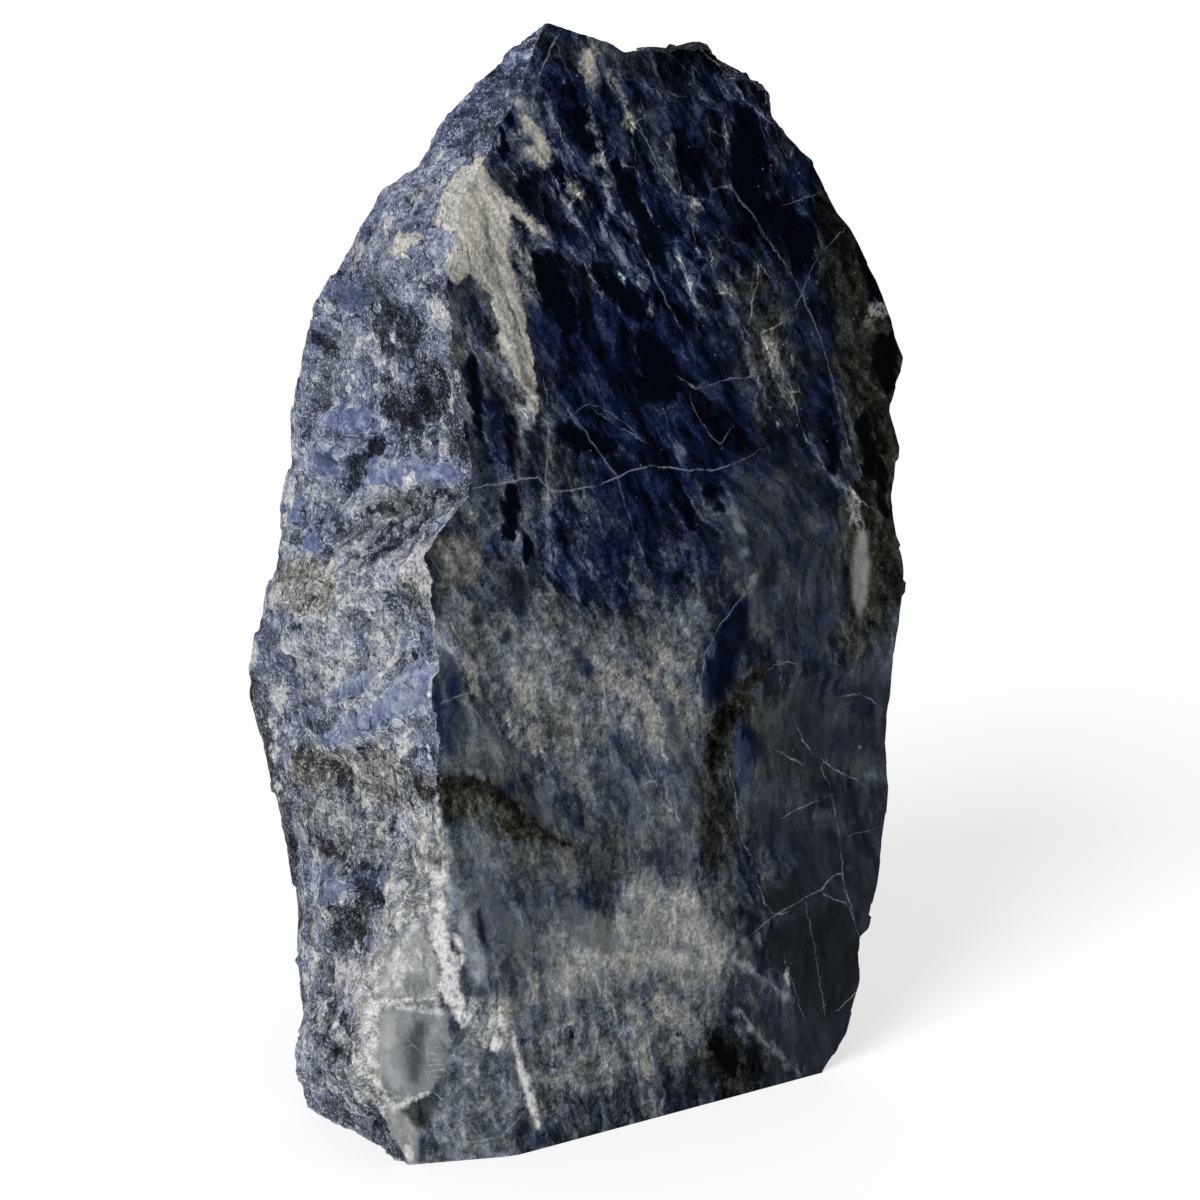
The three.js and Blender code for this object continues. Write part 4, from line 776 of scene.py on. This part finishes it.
def neighbour_mean(mesh, values):
    """The mean of each vertex's neighbours."""
    a, b = read(mesh.edges, "vertices", 2, np.int32).T
    count = np.bincount(a, minlength=len(values)) + np.bincount(b, minlength=len(values))
    columns = [np.bincount(a, column[b], len(values)) + np.bincount(b, column[a], len(values)) for column in values.T]
    return np.stack(columns, axis=-1) / np.maximum(count, 1)[:, None]


def ridges(mesh, place):
    """How far each vertex stands out from the stone around it, in mm: above 0 on a ridge, below 0 in a hollow."""
    around = place
    for _ in range(3):
        around = neighbour_mean(mesh, around)
    out = ((place - around) * directions(mesh)).sum(axis=1)
    return neighbour_mean(mesh, out[:, None])[:, 0]


def finish_of_faces(mesh, place):
    """Gives each face its finish and hands back how far each vertex is from an arris, at most 6 mm."""
    start = read(mesh.polygons, "loop_start", kind=np.int32)
    corner = read(mesh.loops, "vertex_index", kind=np.int32)
    sawn = read(mesh.attributes["sawn"].data, "value")
    total = np.diff(np.append(start, len(corner)))
    middle = np.add.reduceat(place[corner], start) / total[:, None]
    finish = np.where(middle[:, 2] < 0.01, SAWN, np.where(sawn > 0.5, HONED, BROKEN))
    mesh.polygons.foreach_set("material_index", finish.astype(np.int32))
    per_corner = np.repeat(finish, total)
    seen = np.zeros((3, len(place)), bool)
    for n in range(3):
        seen[n][corner[per_corner == n]] = True
    arris = place[seen.sum(axis=0) > 1]
    tree = kdtree.KDTree(len(arris))
    for n, point in enumerate(arris):
        tree.insert(point, n)
    tree.balance()
    gap = np.array([min(tree.find(point)[2], 6.0) for point in place])
    return gap + 6.0 * smoothstep(135.0, 165.0, place[:, 2]) + 6.0 * smoothstep(10.0, 20.0, place[:, 0])


def paint(stone):
    """Keeps for each point of the stone all that its materials read."""
    mesh = stone.data
    place = places(mesh)
    x, y, z = place.T
    left = left_side(place)
    gap = finish_of_faces(mesh, place)
    store(mesh, "lay place", [lay_of(place), y, z])
    ladder, cream = depths(x, z, [CORNER_LADDER]) + depths(y, z, [LEFT_CREAM], left)
    store(mesh, "relief", [ridges(mesh, place), gap, ladder, cream])

    honed = laid_ground(HONED_GROUND, x, z, place)
    broken = laid_ground(LEFT_GROUND, y, z, place) * left[:, None] + wild_ground(place) * (1.0 - left[:, None])
    for side, ground in (("honed", honed), ("broken", broken)):
        store(mesh, side + " ground", ground[:, :4].T)
        store(mesh, side + " grain", ground[:, 4:].T)
    store(mesh, "honed marks", depths(x, z, [HONED_CREAM, HONED_BEIGE, HONED_BLACK, HONED_GREEN]))
    store(mesh, "honed patches", depths(x, z, [HONED_WHITE, HONED_SLATE, HONED_MIST, CORNER_BROKEN]))
    store(mesh, "broken marks", depths(y, z, [LEFT_WHITE, LEFT_DARK, LEFT_BLUE, LEFT_BROWN], left))
    cracks = np.array([beside(x, z, lines) for lines in HONED_CRACKS])
    for name, few in (("one", cracks[:4]), ("two", cracks[4:])):
        store(mesh, "cracks " + name, np.clip(few, -4.0, 4.0))
        store(mesh, "near " + name, smoothstep(3.0, 2.0, np.abs(few)))


# ---------------------------------------------------------------- materials
def shade(red, green, blue):
    """A colour as it looks, from 0 to 255, as the linear light that Blender mixes."""
    parts = [v / 255.0 for v in (red, green, blue)]
    return tuple(v / 12.92 if v < 0.04045 else ((v + 0.055) / 1.055) ** 2.4 for v in parts) + (1.0,)


class Board:
    """A node tree with short ways to add to it."""

    def __init__(self, tree):
        self.tree = tree

    def node(self, kind, sockets, **settings):
        """A node with these settings, each socket fed by a value or set to a plain number, place or colour."""
        node = self.tree.nodes.new("ShaderNode" + kind)
        for name, setting in settings.items():
            setattr(node, name, setting)
        for key, given in sockets.items():
            if isinstance(given, Value):
                self.tree.links.new(given.socket, node.inputs[key])
            else:
                node.inputs[key].default_value = given
        return node

    def add(self, kind, sockets, out=0, **settings):
        return Value(self, self.node(kind, sockets, **settings).outputs[out])

    def attribute(self, name, out="Vector"):
        return self.add("Attribute", {}, out, attribute_type="GEOMETRY", attribute_name=name)

    def stored(self, name):
        """The four numbers that paint() kept for each point."""
        kept = self.attribute(name, "Color")
        return kept.parts() + [Value(self, kept.socket.node.outputs["Alpha"])]

    def spot(self):
        """The place on the piece in mm."""
        return self.add("TexCoord", {}, "Object").scaled(1000.0)

    def shader(self):
        return self.tree.nodes["Principled BSDF"]

    def feed(self, **sockets):
        """Feeds the shader's sockets, named with _ for a space."""
        for name, value in sockets.items():
            self.tree.links.new(value.socket, self.shader().inputs[name.replace("_", " ")])


class Value:
    """What a material works out at each point: a number, a place or a colour. Arithmetic on it adds nodes."""

    def __init__(self, board, socket):
        self.board, self.socket = board, socket

    def math(self, way, *others):
        return self.board.add("Math", dict(enumerate((self, *others))), operation=way)

    def vector(self, way, other, out=0):
        return self.board.add("VectorMath", {0: self, 1: other}, out, operation=way)

    def __add__(self, other):
        return self.math("ADD", other)

    def __sub__(self, other):
        return self.math("SUBTRACT", other)

    def __rsub__(self, other):
        return self.board.add("Math", {0: other, 1: self}, operation="SUBTRACT")

    def __mul__(self, other):
        return self.math("MULTIPLY", other)

    def __abs__(self):
        return self.math("ABSOLUTE")

    def swing(self, amount):
        """A value around 0.5 turned into one around 0, this many times larger."""
        return self.math("MULTIPLY_ADD", amount, -0.5 * amount)

    def step(self, low, high, least=0.0, most=1.0):
        """A smooth step from least to most as the value goes from low to high."""
        sockets = {"Value": self, "From Min": low, "From Max": high, "To Min": least, "To Max": most}
        return self.board.add("MapRange", sockets, interpolation_type="SMOOTHSTEP")

    def toward(self, there, amount):
        """The value moved part of the way toward another."""
        return self.board.add("Mix", {0: amount, 2: self, 3: there}, data_type="FLOAT")

    def under(self, colour, amount):
        """The colour with this much of another over it."""
        return self.board.add("Mix", {0: amount, 6: self, 7: colour}, 2, data_type="RGBA")

    def ramp(self, stops):
        """Colours along the value, given for some of its levels."""
        node = self.board.node("ValToRGB", {0: self})
        bar = node.color_ramp.elements
        while len(bar) < len(stops):
            bar.new(0.5)
        for element, (level, colour) in zip(bar, stops.items()):
            element.position, element.color = level, shade(*colour)
        return Value(self.board, node.outputs[0])

    def parts(self):
        """The red, green and blue of a colour."""
        node = self.board.node("SeparateColor", {0: self})
        return [Value(self.board, socket) for socket in node.outputs]

    def scaled(self, by):
        return self.board.add("VectorMath", {0: self, "Scale": by}, operation="SCALE")

    def steps_of(self, *sizes):
        """A place measured in steps of these sizes, so that a pattern on it has them."""
        return self.vector("MULTIPLY", tuple(1.0 / size for size in sizes))

    def noise(self, sizes, detail, rough, out=0):
        """A noise of these sizes in mm, across the lay or right along the stone, then back, then up."""
        place = self.steps_of(*sizes) if sizes else self
        return self.board.add("TexNoise", {"Vector": place, "Scale": 1.0, "Detail": detail, "Roughness": rough}, out)

    def cells(self):
        """Cells one step across: how far off each one's middle is, its colour and where the middle lies."""
        node = self.board.node("TexVoronoi", {"Vector": self, "Scale": 1.0}, feature="F1")
        return [Value(self.board, node.outputs[name]) for name in ("Distance", "Color", "Position")]

    def cell_edges(self):
        """How far off the edge of the cell is."""
        return self.board.add("TexVoronoi", {"Vector": self, "Scale": 1.0}, feature="DISTANCE_TO_EDGE")


MIDDLE = (0.5, 0.5, 0.5)
SOCKETS = {"Place": "NodeSocketVector", "Color": "NodeSocketColor"}


def node_group(name, inputs, outputs):
    """Makes a node group of the function below it, which then places that group with its own values."""

    def made(fill):
        tree = bpy.data.node_groups.new(name, "ShaderNodeTree")
        for labels, way in ((inputs, "INPUT"), (outputs, "OUTPUT")):
            for label in labels:
                tree.interface.new_socket(label, in_out=way, socket_type=SOCKETS.get(label, "NodeSocketFloat"))
        entry, leave = tree.nodes.new("NodeGroupInput"), tree.nodes.new("NodeGroupOutput")
        for value, label in zip(fill(*[Value(Board(tree), entry.outputs[label]) for label in inputs]), outputs):
            tree.links.new(value.socket, leave.inputs[label])

        def placed(*given):
            board = next(value.board for value in given if isinstance(value, Value))
            node = board.tree.nodes.new("ShaderNodeGroup")
            node.node_tree = tree
            for label, value in zip(inputs, given):
                if isinstance(value, Value):
                    board.tree.links.new(value.socket, node.inputs[label])
                else:
                    node.inputs[label].default_value = value
            results = [Value(board, node.outputs[label]) for label in outputs]
            return results if len(results) > 1 else results[0]

        return placed

    return made


# The stone's own colours, from black to pale, for these levels of lightness.
LEVELS = (0.0, 0.15, 0.3, 0.45, 0.6, 0.75, 0.9, 1.0)
BLUE_STONE = [(0, 1, 8), (3, 9, 28), (9, 18, 50), (29, 41, 70), (60, 70, 102), (96, 107, 143), (146, 154, 176),
              (194, 197, 202)]
GREY_STONE = [(1, 2, 3), (9, 12, 15), (26, 31, 37), (52, 58, 66), (84, 90, 96), (118, 123, 128), (160, 162, 163),
              (203, 202, 199)]
WARM_STONE = [(2, 3, 2), (15, 16, 11), (37, 38, 31), (66, 67, 58), (98, 98, 89), (132, 131, 121), (170, 168, 157),
              (206, 203, 192)]


@node_group("mineral colour", ("Lightness", "Blue", "Warm"), ("Color",))
def mineral(light, blue, warm):
    """The stone's own colours: from black to pale, more or less blue, more or less warm."""
    blues, greys, warms = (light.ramp(dict(zip(LEVELS, row))) for row in (BLUE_STONE, GREY_STONE, WARM_STONE))
    return [greys.under(blues, blue).under(warms, warm)]


@node_group("ragged place", ("Place", "Size", "Push"), ("Place",))
def ragged(place, size, push):
    """A place pushed about a little, so that what is drawn on it gets ragged edges."""
    per = place.board.add("Math", {0: 1.0, 1: size}, operation="DIVIDE")
    away = place.scaled(per).noise(None, 3.0, 0.6, "Color").vector("SUBTRACT", MIDDLE)
    return [place.vector("ADD", away.scaled(push))]


@node_group("lay streaks", ("Place",), ("Patches", "Small Patches", "Wisps"))
def streaks(place):
    """Dark and light patches drawn out along the lay, broad and small, and the wisps between them."""
    broad = place.noise((4.6, 13.0, 14.0), 2.5, 0.5)
    small = place.noise((1.8, 4.6, 5.4), 2.5, 0.5)
    strands = place.noise((1.1, 6.0, 7.0), 2.0, 0.5)
    lit = place.noise((5.0, 9.0, 10.0), 2.0, 0.5)
    return broad.step(0.44, 0.56), small.step(0.44, 0.56), strands.step(0.54, 0.66) * lit.step(0.48, 0.60)


@node_group("grains", ("Place", "Seam Width"), ("Grain", "Seam", "Tilt"))
def unit_grains(place, seam):
    """Interlocking grains one step across: a number for each grain, the seams between them and each one's tilt."""
    _, colour, middle = place.cells()
    away, lean = place.vector("SUBTRACT", middle), colour.vector("SUBTRACT", MIDDLE)
    return colour.parts()[0], place.cell_edges().step(seam, 0.0), away.vector("DOT_PRODUCT", lean, "Value")


def grains(place, sizes, seam):
    """Grains of these sizes in mm: number, seam and tilt of each."""
    return unit_grains(place.steps_of(*sizes), seam)


@node_group("specks", ("Place", "Size", "Amount"), ("Mask",))
def specks(place, size, amount):
    """Small bright specks scattered over the stone."""
    per = place.board.add("Math", {0: 1.0, 1: size}, operation="DIVIDE")
    distance, colour, _ = place.scaled(per).cells()
    lot, radius, _ = colour.parts()
    return [(distance - radius * 0.20).step(0.05, -0.04) * lot.math("LESS_THAN", amount)]


@node_group("frayed mark", ("Depth", "Noise", "Fray", "Softness"), ("Mask",))
def mark(depth, noise, fray, soft):
    """A mark's mask from its depth, with an edge frayed by a noise."""
    return [(depth + noise.swing(2.0) * fray).step(soft * -1.0, soft)]


@node_group("fine crack", ("Beside", "Wander", "Fade", "Half Width"), ("Mask",))
def crack(distance, wander, fade, half):
    """A fine crack from the distance beside its line, wandering and fading along its way."""
    line = abs(distance + wander.swing(2.2)).step(half * 1.7, half * 0.3)
    return [line * fade.step(0.40, 0.60, 0.05, 1.0)]


def new_material(name, rough, specular):
    material = bpy.data.materials.new(name)
    material.use_nodes = True
    board = Board(material.node_tree)
    board.shader().inputs["Roughness"].default_value = rough
    board.shader().inputs["Specular IOR Level"].default_value = specular
    return material, board


def bumpy(board, strength, depth, height):
    """Feeds the shader a relief of this height, its unit as deep as this in mm."""
    board.feed(Normal=board.add("Bump", {"Strength": strength, "Distance": depth * MM, "Height": height}))


def patterns(board, side):
    """The patterns that every finish of the stone shows, and what the ground of this side is made of."""
    place, spot = board.attribute("lay place"), board.spot()
    seen = SimpleNamespace(spot=spot, torn=ragged(place, 3.2, 3.0))
    seen.tone, seen.blue, seen.warm, seen.contrast = board.stored(side + " ground")
    seen.grainy, seen.wispy, seen.flecked, _ = board.stored(side + " grain")
    seen.patches, seen.small_patches, seen.wisps = streaks(seen.torn)
    seen.shard, seen.shard_seam, _ = grains(seen.torn, (3.4, 9.0, 10.0), 0.05)
    _, seen.net, _ = grains(ragged(place, 8.0, 5.0), (5.0, 13.0, 15.0), 0.030)
    seen.chip, seen.chip_seam, seen.chip_tilt = grains(ragged(spot, 1.2, 0.8), (1.5, 1.5, 1.8), 0.12)
    seen.mottle = spot.noise((1.6, 1.6, 2.0), 4.0, 0.62)
    seen.dust = spot.noise((0.42, 0.42, 0.42), 2.0, 0.6)
    seen.grit = spot.noise((0.75, 0.75, 0.95), 3.0, 0.75)
    seen.fray = spot.noise((3.0, 3.0, 3.4), 4.0, 0.58)
    seen.long_fray = seen.torn.noise((1.6, 4.5, 5.0), 2.0, 0.5)
    seen.drift = seen.torn.noise((5.0, 10.0, 11.0), 3.0, 0.55)
    seen.turn = spot.noise((5.0, 5.0, 7.0), 4.0, 0.6)
    return seen


def crumbs(spot):
    """Fine noises for the crumbs and the pores of broken stone."""
    return spot.noise((0.52, 0.52, 0.52), 3.0, 0.6), spot.noise((0.9, 0.9, 0.9), 3.0, 0.6)


def ground_light(seen):
    """How light the ground is: its tone, moved by the patches, the grains and the dust."""
    sway = seen.patches.swing(0.26) + seen.small_patches.swing(0.20) + seen.shard.swing(0.20) + seen.dust.swing(0.50)
    speckle = seen.mottle.swing(0.9) + seen.chip.swing(0.28) + (seen.grit.swing(0.9) + seen.fray.swing(0.9))
    speckle = speckle + seen.grit.step(0.42, 0.58).swing(0.12) - seen.chip_seam * 0.08
    return seen.tone + (sway + speckle * seen.grainy) * seen.contrast


def tinted(seen, light, blue, warm):
    """The stone's colour, its blue and its warmth wandering from place to place."""
    blue = blue + seen.drift.swing(1.5) * blue.step(0.0, 0.3)
    warm = (warm + seen.turn.swing(2.0) * seen.contrast.step(0.05, 0.5)) * warm.step(0.0, 0.15)
    return mineral(light, blue, warm)


def cream_body(seen, lift):
    """The cream stone: pale, with soft brown-grey fibres along the lay."""
    fibre = seen.torn.noise((1.2, 6.0, 7.0), 3.5, 0.64)
    pale = fibre.swing(0.85) + seen.grit.swing(0.8) + 0.5 + lift
    return pale.ramp({0.22: (84, 83, 78), 0.40: (122, 120, 114), 0.52: (152, 150, 144), 0.64: (182, 179, 171),
                      0.78: (214, 210, 200)})


# Half width in mm and strength of each set of cracks.
HONED_VEINS = [(0.16, 0.40), (0.17, 0.42), (0.15, 0.38), (0.14, 0.34), (0.13, 0.24), (0.18, 0.24), (0.13, 0.30),
               (0.30, 0.75)]


def honed_veins(board, spot):
    """Masks of the pale veins and of the dark ones."""
    wander, fade = spot.noise((3.4, 3.4, 3.4), 7.0, 0.68), spot.noise((5.0, 5.0, 5.0), 5.0, 0.7)
    beside_each = board.stored("cracks one") + board.stored("cracks two")
    near_each = board.stored("near one") + board.stored("near two")
    lines = [
        crack(distance, wander, fade, half) * near * strong
        for distance, near, (half, strong) in zip(beside_each, near_each, HONED_VEINS)
    ]
    pale = lines[0]
    for line in lines[1:-1]:
        pale = pale.math("MAXIMUM", line)
    return pale, lines[-1]


def honed_material():
    """Honed stone: dark and smooth, every streak, lens, vein and fleck in its place."""
    material, board = new_material("honed sodalite", 0.40, 0.035)
    seen = patterns(board, "honed")
    cream, beige, black, green = board.stored("honed marks")
    white, slate, mist, again = board.stored("honed patches")
    _, gap, ladder, _ = board.stored("relief")
    edge = (seen.fray + seen.long_fray) * 0.5

    # Black lenses, slate, tan and dark green patches over the ground.
    pushed = black + seen.long_fray.swing(7.0)
    lens = pushed.step(-0.8, 0.8)
    light = ground_light(seen).toward(seen.dust.swing(0.20) + 0.02, lens * 0.95)
    light = light.toward(0.55, mark(slate, seen.long_fray, 4.0, 1.3) * 0.65)
    tan = mark(beige, edge, 6.0, 1.0) * seen.grit.step(0.34, 0.56, 0.40, 0.90)
    light = light.toward(seen.mottle.swing(0.7) + 0.73 + seen.grit.swing(0.6), tan)
    dark = mark(green, edge, 7.0, 1.4) * 0.85
    light = light.toward(seen.mottle.swing(1.3) + 0.17, dark)
    warm = (seen.warm.toward(0.62, tan) * (1.0 - lens)).toward(1.0, dark)
    blue = seen.blue.toward(0.0, tan)

    # The pale wisps, nets, mists and lens rims.
    rim = abs(pushed + 0.9).step(0.5, 0.0) * seen.fray.step(0.42, 0.58)
    net = seen.net * seen.turn.step(0.44, 0.60) * seen.wispy.step(0.40, 1.0, 0.0, 0.36)
    net = net + seen.shard_seam * seen.drift.step(0.50, 0.62) * (seen.wispy * 0.14)
    veil = mark(mist, seen.long_fray, 4.0, 1.3) * 0.26
    pale = seen.wisps * seen.wispy * 0.22 + net + (veil + rim * seen.wispy * 0.20)
    light = light + pale * (1.0 - lens * 0.75)
    colour = tinted(seen, light, blue * light.step(0.32, 0.66, 1.0, 0.5), warm)

    # Cream, white, the ladder of the corner window, the veins and the specks.
    colour = colour.under(cream_body(seen, (seen.tone - 0.44) * 0.40), mark(cream, seen.fray, 2.2, 0.45))
    chalk = seen.grit.ramp({0.30: (148, 148, 152), 0.44: (188, 188, 190), 0.60: (218, 217, 216)})
    colour = colour.under(chalk, mark(white, edge, 2.6, 0.75) * seen.mottle.step(0.36, 0.50, 0.40, 0.92))
    wave = {"Vector": seen.torn.steps_of(40.0, 40.0, 1.0), "Scale": 0.22, "Distortion": 1.2, "Detail": 1.0}
    rung = board.add("TexWave", wave, "Fac", wave_type="BANDS", bands_direction="Z").step(0.80, 0.98)
    rung = rung * ladder.step(-0.5, 0.4) * seen.turn.step(0.40, 0.55)
    colour = colour.under(shade(186, 188, 190), rung * 0.3)
    veins, dark_veins = honed_veins(board, seen.spot)
    colour = colour.under(shade(150, 157, 174), veins).under(shade(10, 12, 10), dark_veins)
    colour = colour.under(shade(160, 167, 192), specks(seen.spot, 1.0, 0.06) * seen.flecked * 0.55)

    # Where the corner broke again: pores darkened with painted shade, and crumbs. Along the arrises: small chips.
    broken = mark(again, seen.fray, 5.0, 1.0)
    crumb, pore = crumbs(seen.spot)
    # Painted shade in the pores, where the bump sinks.
    colour = colour.under(shade(58, 59, 62), pore.step(0.46, 0.36) * broken * 0.50)
    colour = colour.under(shade(206, 206, 206), crumb.step(0.54, 0.64) * broken * 0.60)
    colour = colour.under(shade(140, 145, 158), (gap + seen.fray.swing(4.0)).step(0.2, -0.3, 0.0, 0.40))
    board.feed(Base_Color=colour, Roughness=seen.dust.step(0.3, 0.7, 0.36, 0.46) + (veins + broken) * 0.15)
    bumpy(board, 0.45, 0.15, seen.dust * 0.10 - veins + (pore + seen.chip_tilt) * broken * 2.5)
    return material


def broken_material():
    """Broken stone: flat plates and crumbs, frosted and touched with painted glints on its high places, with smooth
    cleavage facets between.
    """
    material, board = new_material("broken sodalite", 0.62, 0.30)
    seen = patterns(board, "broken")
    white, dark, cleave, brown = board.stored("broken marks")
    relief, gap, _, cream = board.stored("relief")
    spot, tone = seen.spot, seen.tone
    crumpled = ragged(spot, 2.6, 2.6)
    slab, slab_seam, slab_tilt = grains(ragged(spot, 6.0, 4.0), (9.0, 9.0, 7.5), 0.03)
    plate, plate_seam, plate_tilt = grains(crumpled, (4.4, 4.4, 3.6), 0.045)
    scale, scale_seam, scale_tilt = grains(crumpled, (1.9, 1.9, 1.6), 0.08)
    wide = spot.noise((7.0, 7.0, 7.0), 4.0, 0.6)
    crumb, pore = crumbs(spot)

    # Plates, scales and slabs, and the slanting threads that take their place where the stone is drawn out.
    # Each plate, scale and slab is lighter or darker as a whole and along its tilt: partly the stone's own grains,
    # partly painted shading of tilted facets.
    lean = plate_tilt * 0.75 + scale_tilt * 0.60 + slab_tilt * 0.55
    flat = plate.swing(0.30) + scale.swing(0.22) + slab.swing(0.30)
    drawn = seen.wispy.step(0.65, 0.95)
    slant = board.add("Mapping", {"Vector": board.attribute("lay place"), "Rotation": (0.62, 0.0, 0.0)})
    slant = ragged(slant, 4.0, 2.6)
    thread = slant.noise((1.4, 6.5, 1.2), 3.0, 0.62)
    threads = thread.swing(1.7) + slant.noise((3.0, 11.0, 2.6), 3.0, 0.55).swing(1.3)
    whole = (lean + flat) * (1.0 - drawn * 0.62) + threads * drawn
    sway = seen.patches.swing(0.10) + seen.small_patches.swing(0.10)
    speckle = seen.mottle.swing(0.6) + seen.grit.swing(1.05)
    light = tone + (whole + (sway + speckle * seen.grainy)) * seen.contrast

    # Dark, rusty and cleaved patches, which keep part of the painted tilt shading. The pale seams between the plates
    # are partly pale stone and partly painted highlights on their edges; the dark gaps between them are painted
    # shade.
    deep = mark(dark, seen.fray, 6.0, 0.8) * 0.75
    light = light.toward(seen.grit.swing(1.1) + lean * 0.7 + 0.32, deep)
    rusty = mark(brown, seen.fray, 8.0, 1.4) * 0.8
    light = light.toward(seen.grit.swing(1.6) + lean * 0.5 + 0.60, rusty)
    cleaved = mark(cleave, seen.fray, 3.0, 0.25)
    light = light.toward(tone - 0.05 + scale.swing(0.12) + seen.mottle.swing(0.3), cleaved * 0.85)
    blue = seen.blue + cleaved * 0.22
    warm = seen.warm.toward(0.9, rusty) * (1.0 - cleaved)
    rim = cleaved * (1.0 - cleaved) * 1.1
    seams = plate_seam * seen.turn.step(0.46, 0.60) * 0.24 + scale_seam * wide.step(0.50, 0.62) * 0.16
    # Painted shade in the gaps between slabs and plates.
    gap_shade = slab_seam * seen.turn.step(0.54, 0.42) * 0.30 + plate_seam * seen.turn.step(0.50, 0.38) * 0.20
    light = light + (rim + seams * (1.0 - cleaved * 0.65)) - gap_shade
    # Ridges lighter as pale worn stone; hollows darker with painted shade.
    light = light + relief.step(0.02, 0.30, 0.0, 0.12) + relief.step(-0.05, -0.40, 0.0, -0.18)
    colour = tinted(seen, light, blue, warm)

    # Cream and crushed white stone, pores darkened with painted shade, frost with painted glints on the high places,
    # and chips along the arrises.
    colour = colour.under(cream_body(seen, 0.12), mark(cream, seen.fray, 3.0, 0.45))
    chalk = seen.grit.ramp({0.30: (120, 120, 124), 0.46: (176, 176, 178), 0.62: (222, 220, 217)})
    colour = colour.under(chalk, mark(white, seen.fray, 6.0, 0.9) * seen.mottle.step(0.36, 0.50, 0.20, 0.90))
    # Painted shade in the pits that the bump sinks.
    pit_shade = pore.step(0.44, 0.36) * seen.grainy * (0.65 - cleaved * 0.5)
    colour = colour.under(shade(20, 24, 38), pit_shade)
    # Frost: pale crumbs, partly painted glints, gathered on the ridges and stronger where the stone is light.
    spread = crumb + (wide.swing(0.26) + relief * 0.08) + (seen.flecked - deep) * 0.03
    frost_and_glints = spread.step(0.57, 0.68) * (1.0 - cleaved * 0.6)
    colour = colour.under(shade(184, 190, 206), frost_and_glints * light.step(0.25, 0.65, 0.32, 0.82))
    colour = colour.under(shade(166, 168, 176), (gap + seen.fray.swing(4.0)).step(0.4, -0.2, 0.0, 0.35))
    board.feed(Base_Color=colour, Roughness=cleaved.step(0.0, 1.0, 0.66, 0.48))
    height = plate_tilt * 3.4 + scale_tilt * 1.5 + (plate * 0.9 + scale * 0.4)
    height = height * (1.0 - drawn * 0.5) + thread * drawn * 1.6 + seen.chip_tilt * 0.6 + pore.swing(1.0)
    bumpy(board, 1.0, 0.9, height * cleaved.step(0.0, 1.0, 1.0, 0.5))
    return material


def foot_material():
    """The sawn foot: the same stone, matt, with the straight marks of the saw."""
    material, board = new_material("sawn sodalite", 0.7, 0.2)
    seen = patterns(board, "broken")
    light = ground_light(seen) + seen.shard_seam * seen.wispy * 0.30
    colour = tinted(seen, light, seen.blue, seen.warm)
    lines = seen.spot.noise((60.0, 0.5, 1.0), 2.0, 0.5)
    board.feed(Base_Color=colour.under(shade(120, 122, 128), lines.step(0.4, 0.7, 0.15, 0.45)))
    bumpy(board, 0.5, 0.2, lines + seen.dust * 0.3)
    return material


# ---------------------------------------------------------------- floor, light and camera
def in_scene(name, data):
    obj = bpy.data.objects.new(name, data)
    bpy.context.scene.collection.objects.link(obj)
    return obj


def floor():
    bpy.ops.object.select_all(action="DESELECT")
    bpy.ops.mesh.primitive_plane_add(size=FLOOR_SIZE, location=(0, 0, 0))
    slab = bpy.context.object
    slab.name = "floor"
    material, board = new_material("pale floor", 0.9, 0.1)
    sockets = board.shader().inputs
    sockets["Base Color"].default_value = FLOOR_GREY
    sockets["Emission Color"].default_value = (1.0, 1.0, 1.0, 1)
    sockets["Emission Strength"].default_value = FLOOR_GLOW
    slab.data.materials.append(material)
    slab.visible_glossy = False


def window_light():
    """A wide soft light that reaches the whole floor evenly, shining from the window toward the stone."""
    data = bpy.data.lights.new("window", "SUN")
    data.angle = math.radians(WINDOW_SPREAD)
    data.energy = WINDOW_STRENGTH
    lamp = in_scene("window", data)
    lamp.location = WINDOW_PLACE
    lamp.rotation_euler = Vector(WINDOW_PLACE).to_track_quat("Z", "Y").to_euler()


def camera():
    data = bpy.data.cameras.new("camera")
    data.lens, data.sensor_width, data.clip_start = LENS, SENSOR, 0.01
    view = in_scene("camera", data)
    view.location = Vector((CAMERA_PLACE + FRONT_CORNER) * MM)
    view.rotation_euler = (math.radians(90 - TILT), 0.0, math.radians(TURN))
    bpy.context.scene.camera = view


def studio():
    """A white room, dimmer in reflections so that the honed face keeps its depth."""
    room = bpy.data.worlds.new("studio")
    room.use_nodes = True
    board = Board(room.node_tree)
    path = board.node("LightPath", {}).outputs
    camera_ray, glossy_ray = (Value(board, path[name]) for name in ("Is Camera Ray", "Is Glossy Ray"))
    strength = camera_ray.step(0.0, 1.0, ROOM_LIGHT, ROOM_SEEN) - glossy_ray * ROOM_REFLECTED
    background = room.node_tree.nodes["Background"].inputs
    background["Color"].default_value = (1.0, 1.0, 1.0, 1)
    room.node_tree.links.new(strength.socket, background["Strength"])
    bpy.context.scene.world = room


# ---------------------------------------------------------------- making it
stone = grown_block()
roughen(stone)
saw(stone)
thin_out(stone)
clear_slivers(stone)
paint(stone)
for finish in (broken_material, honed_material, foot_material):
    stone.data.materials.append(finish())
only(stone)
bpy.ops.object.shade_smooth_by_angle(angle=SHARP)
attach(stone, "root")
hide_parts("sodalite")

floor()
window_light()
camera()
studio()
bpy.context.scene.view_settings.view_transform = "Standard"
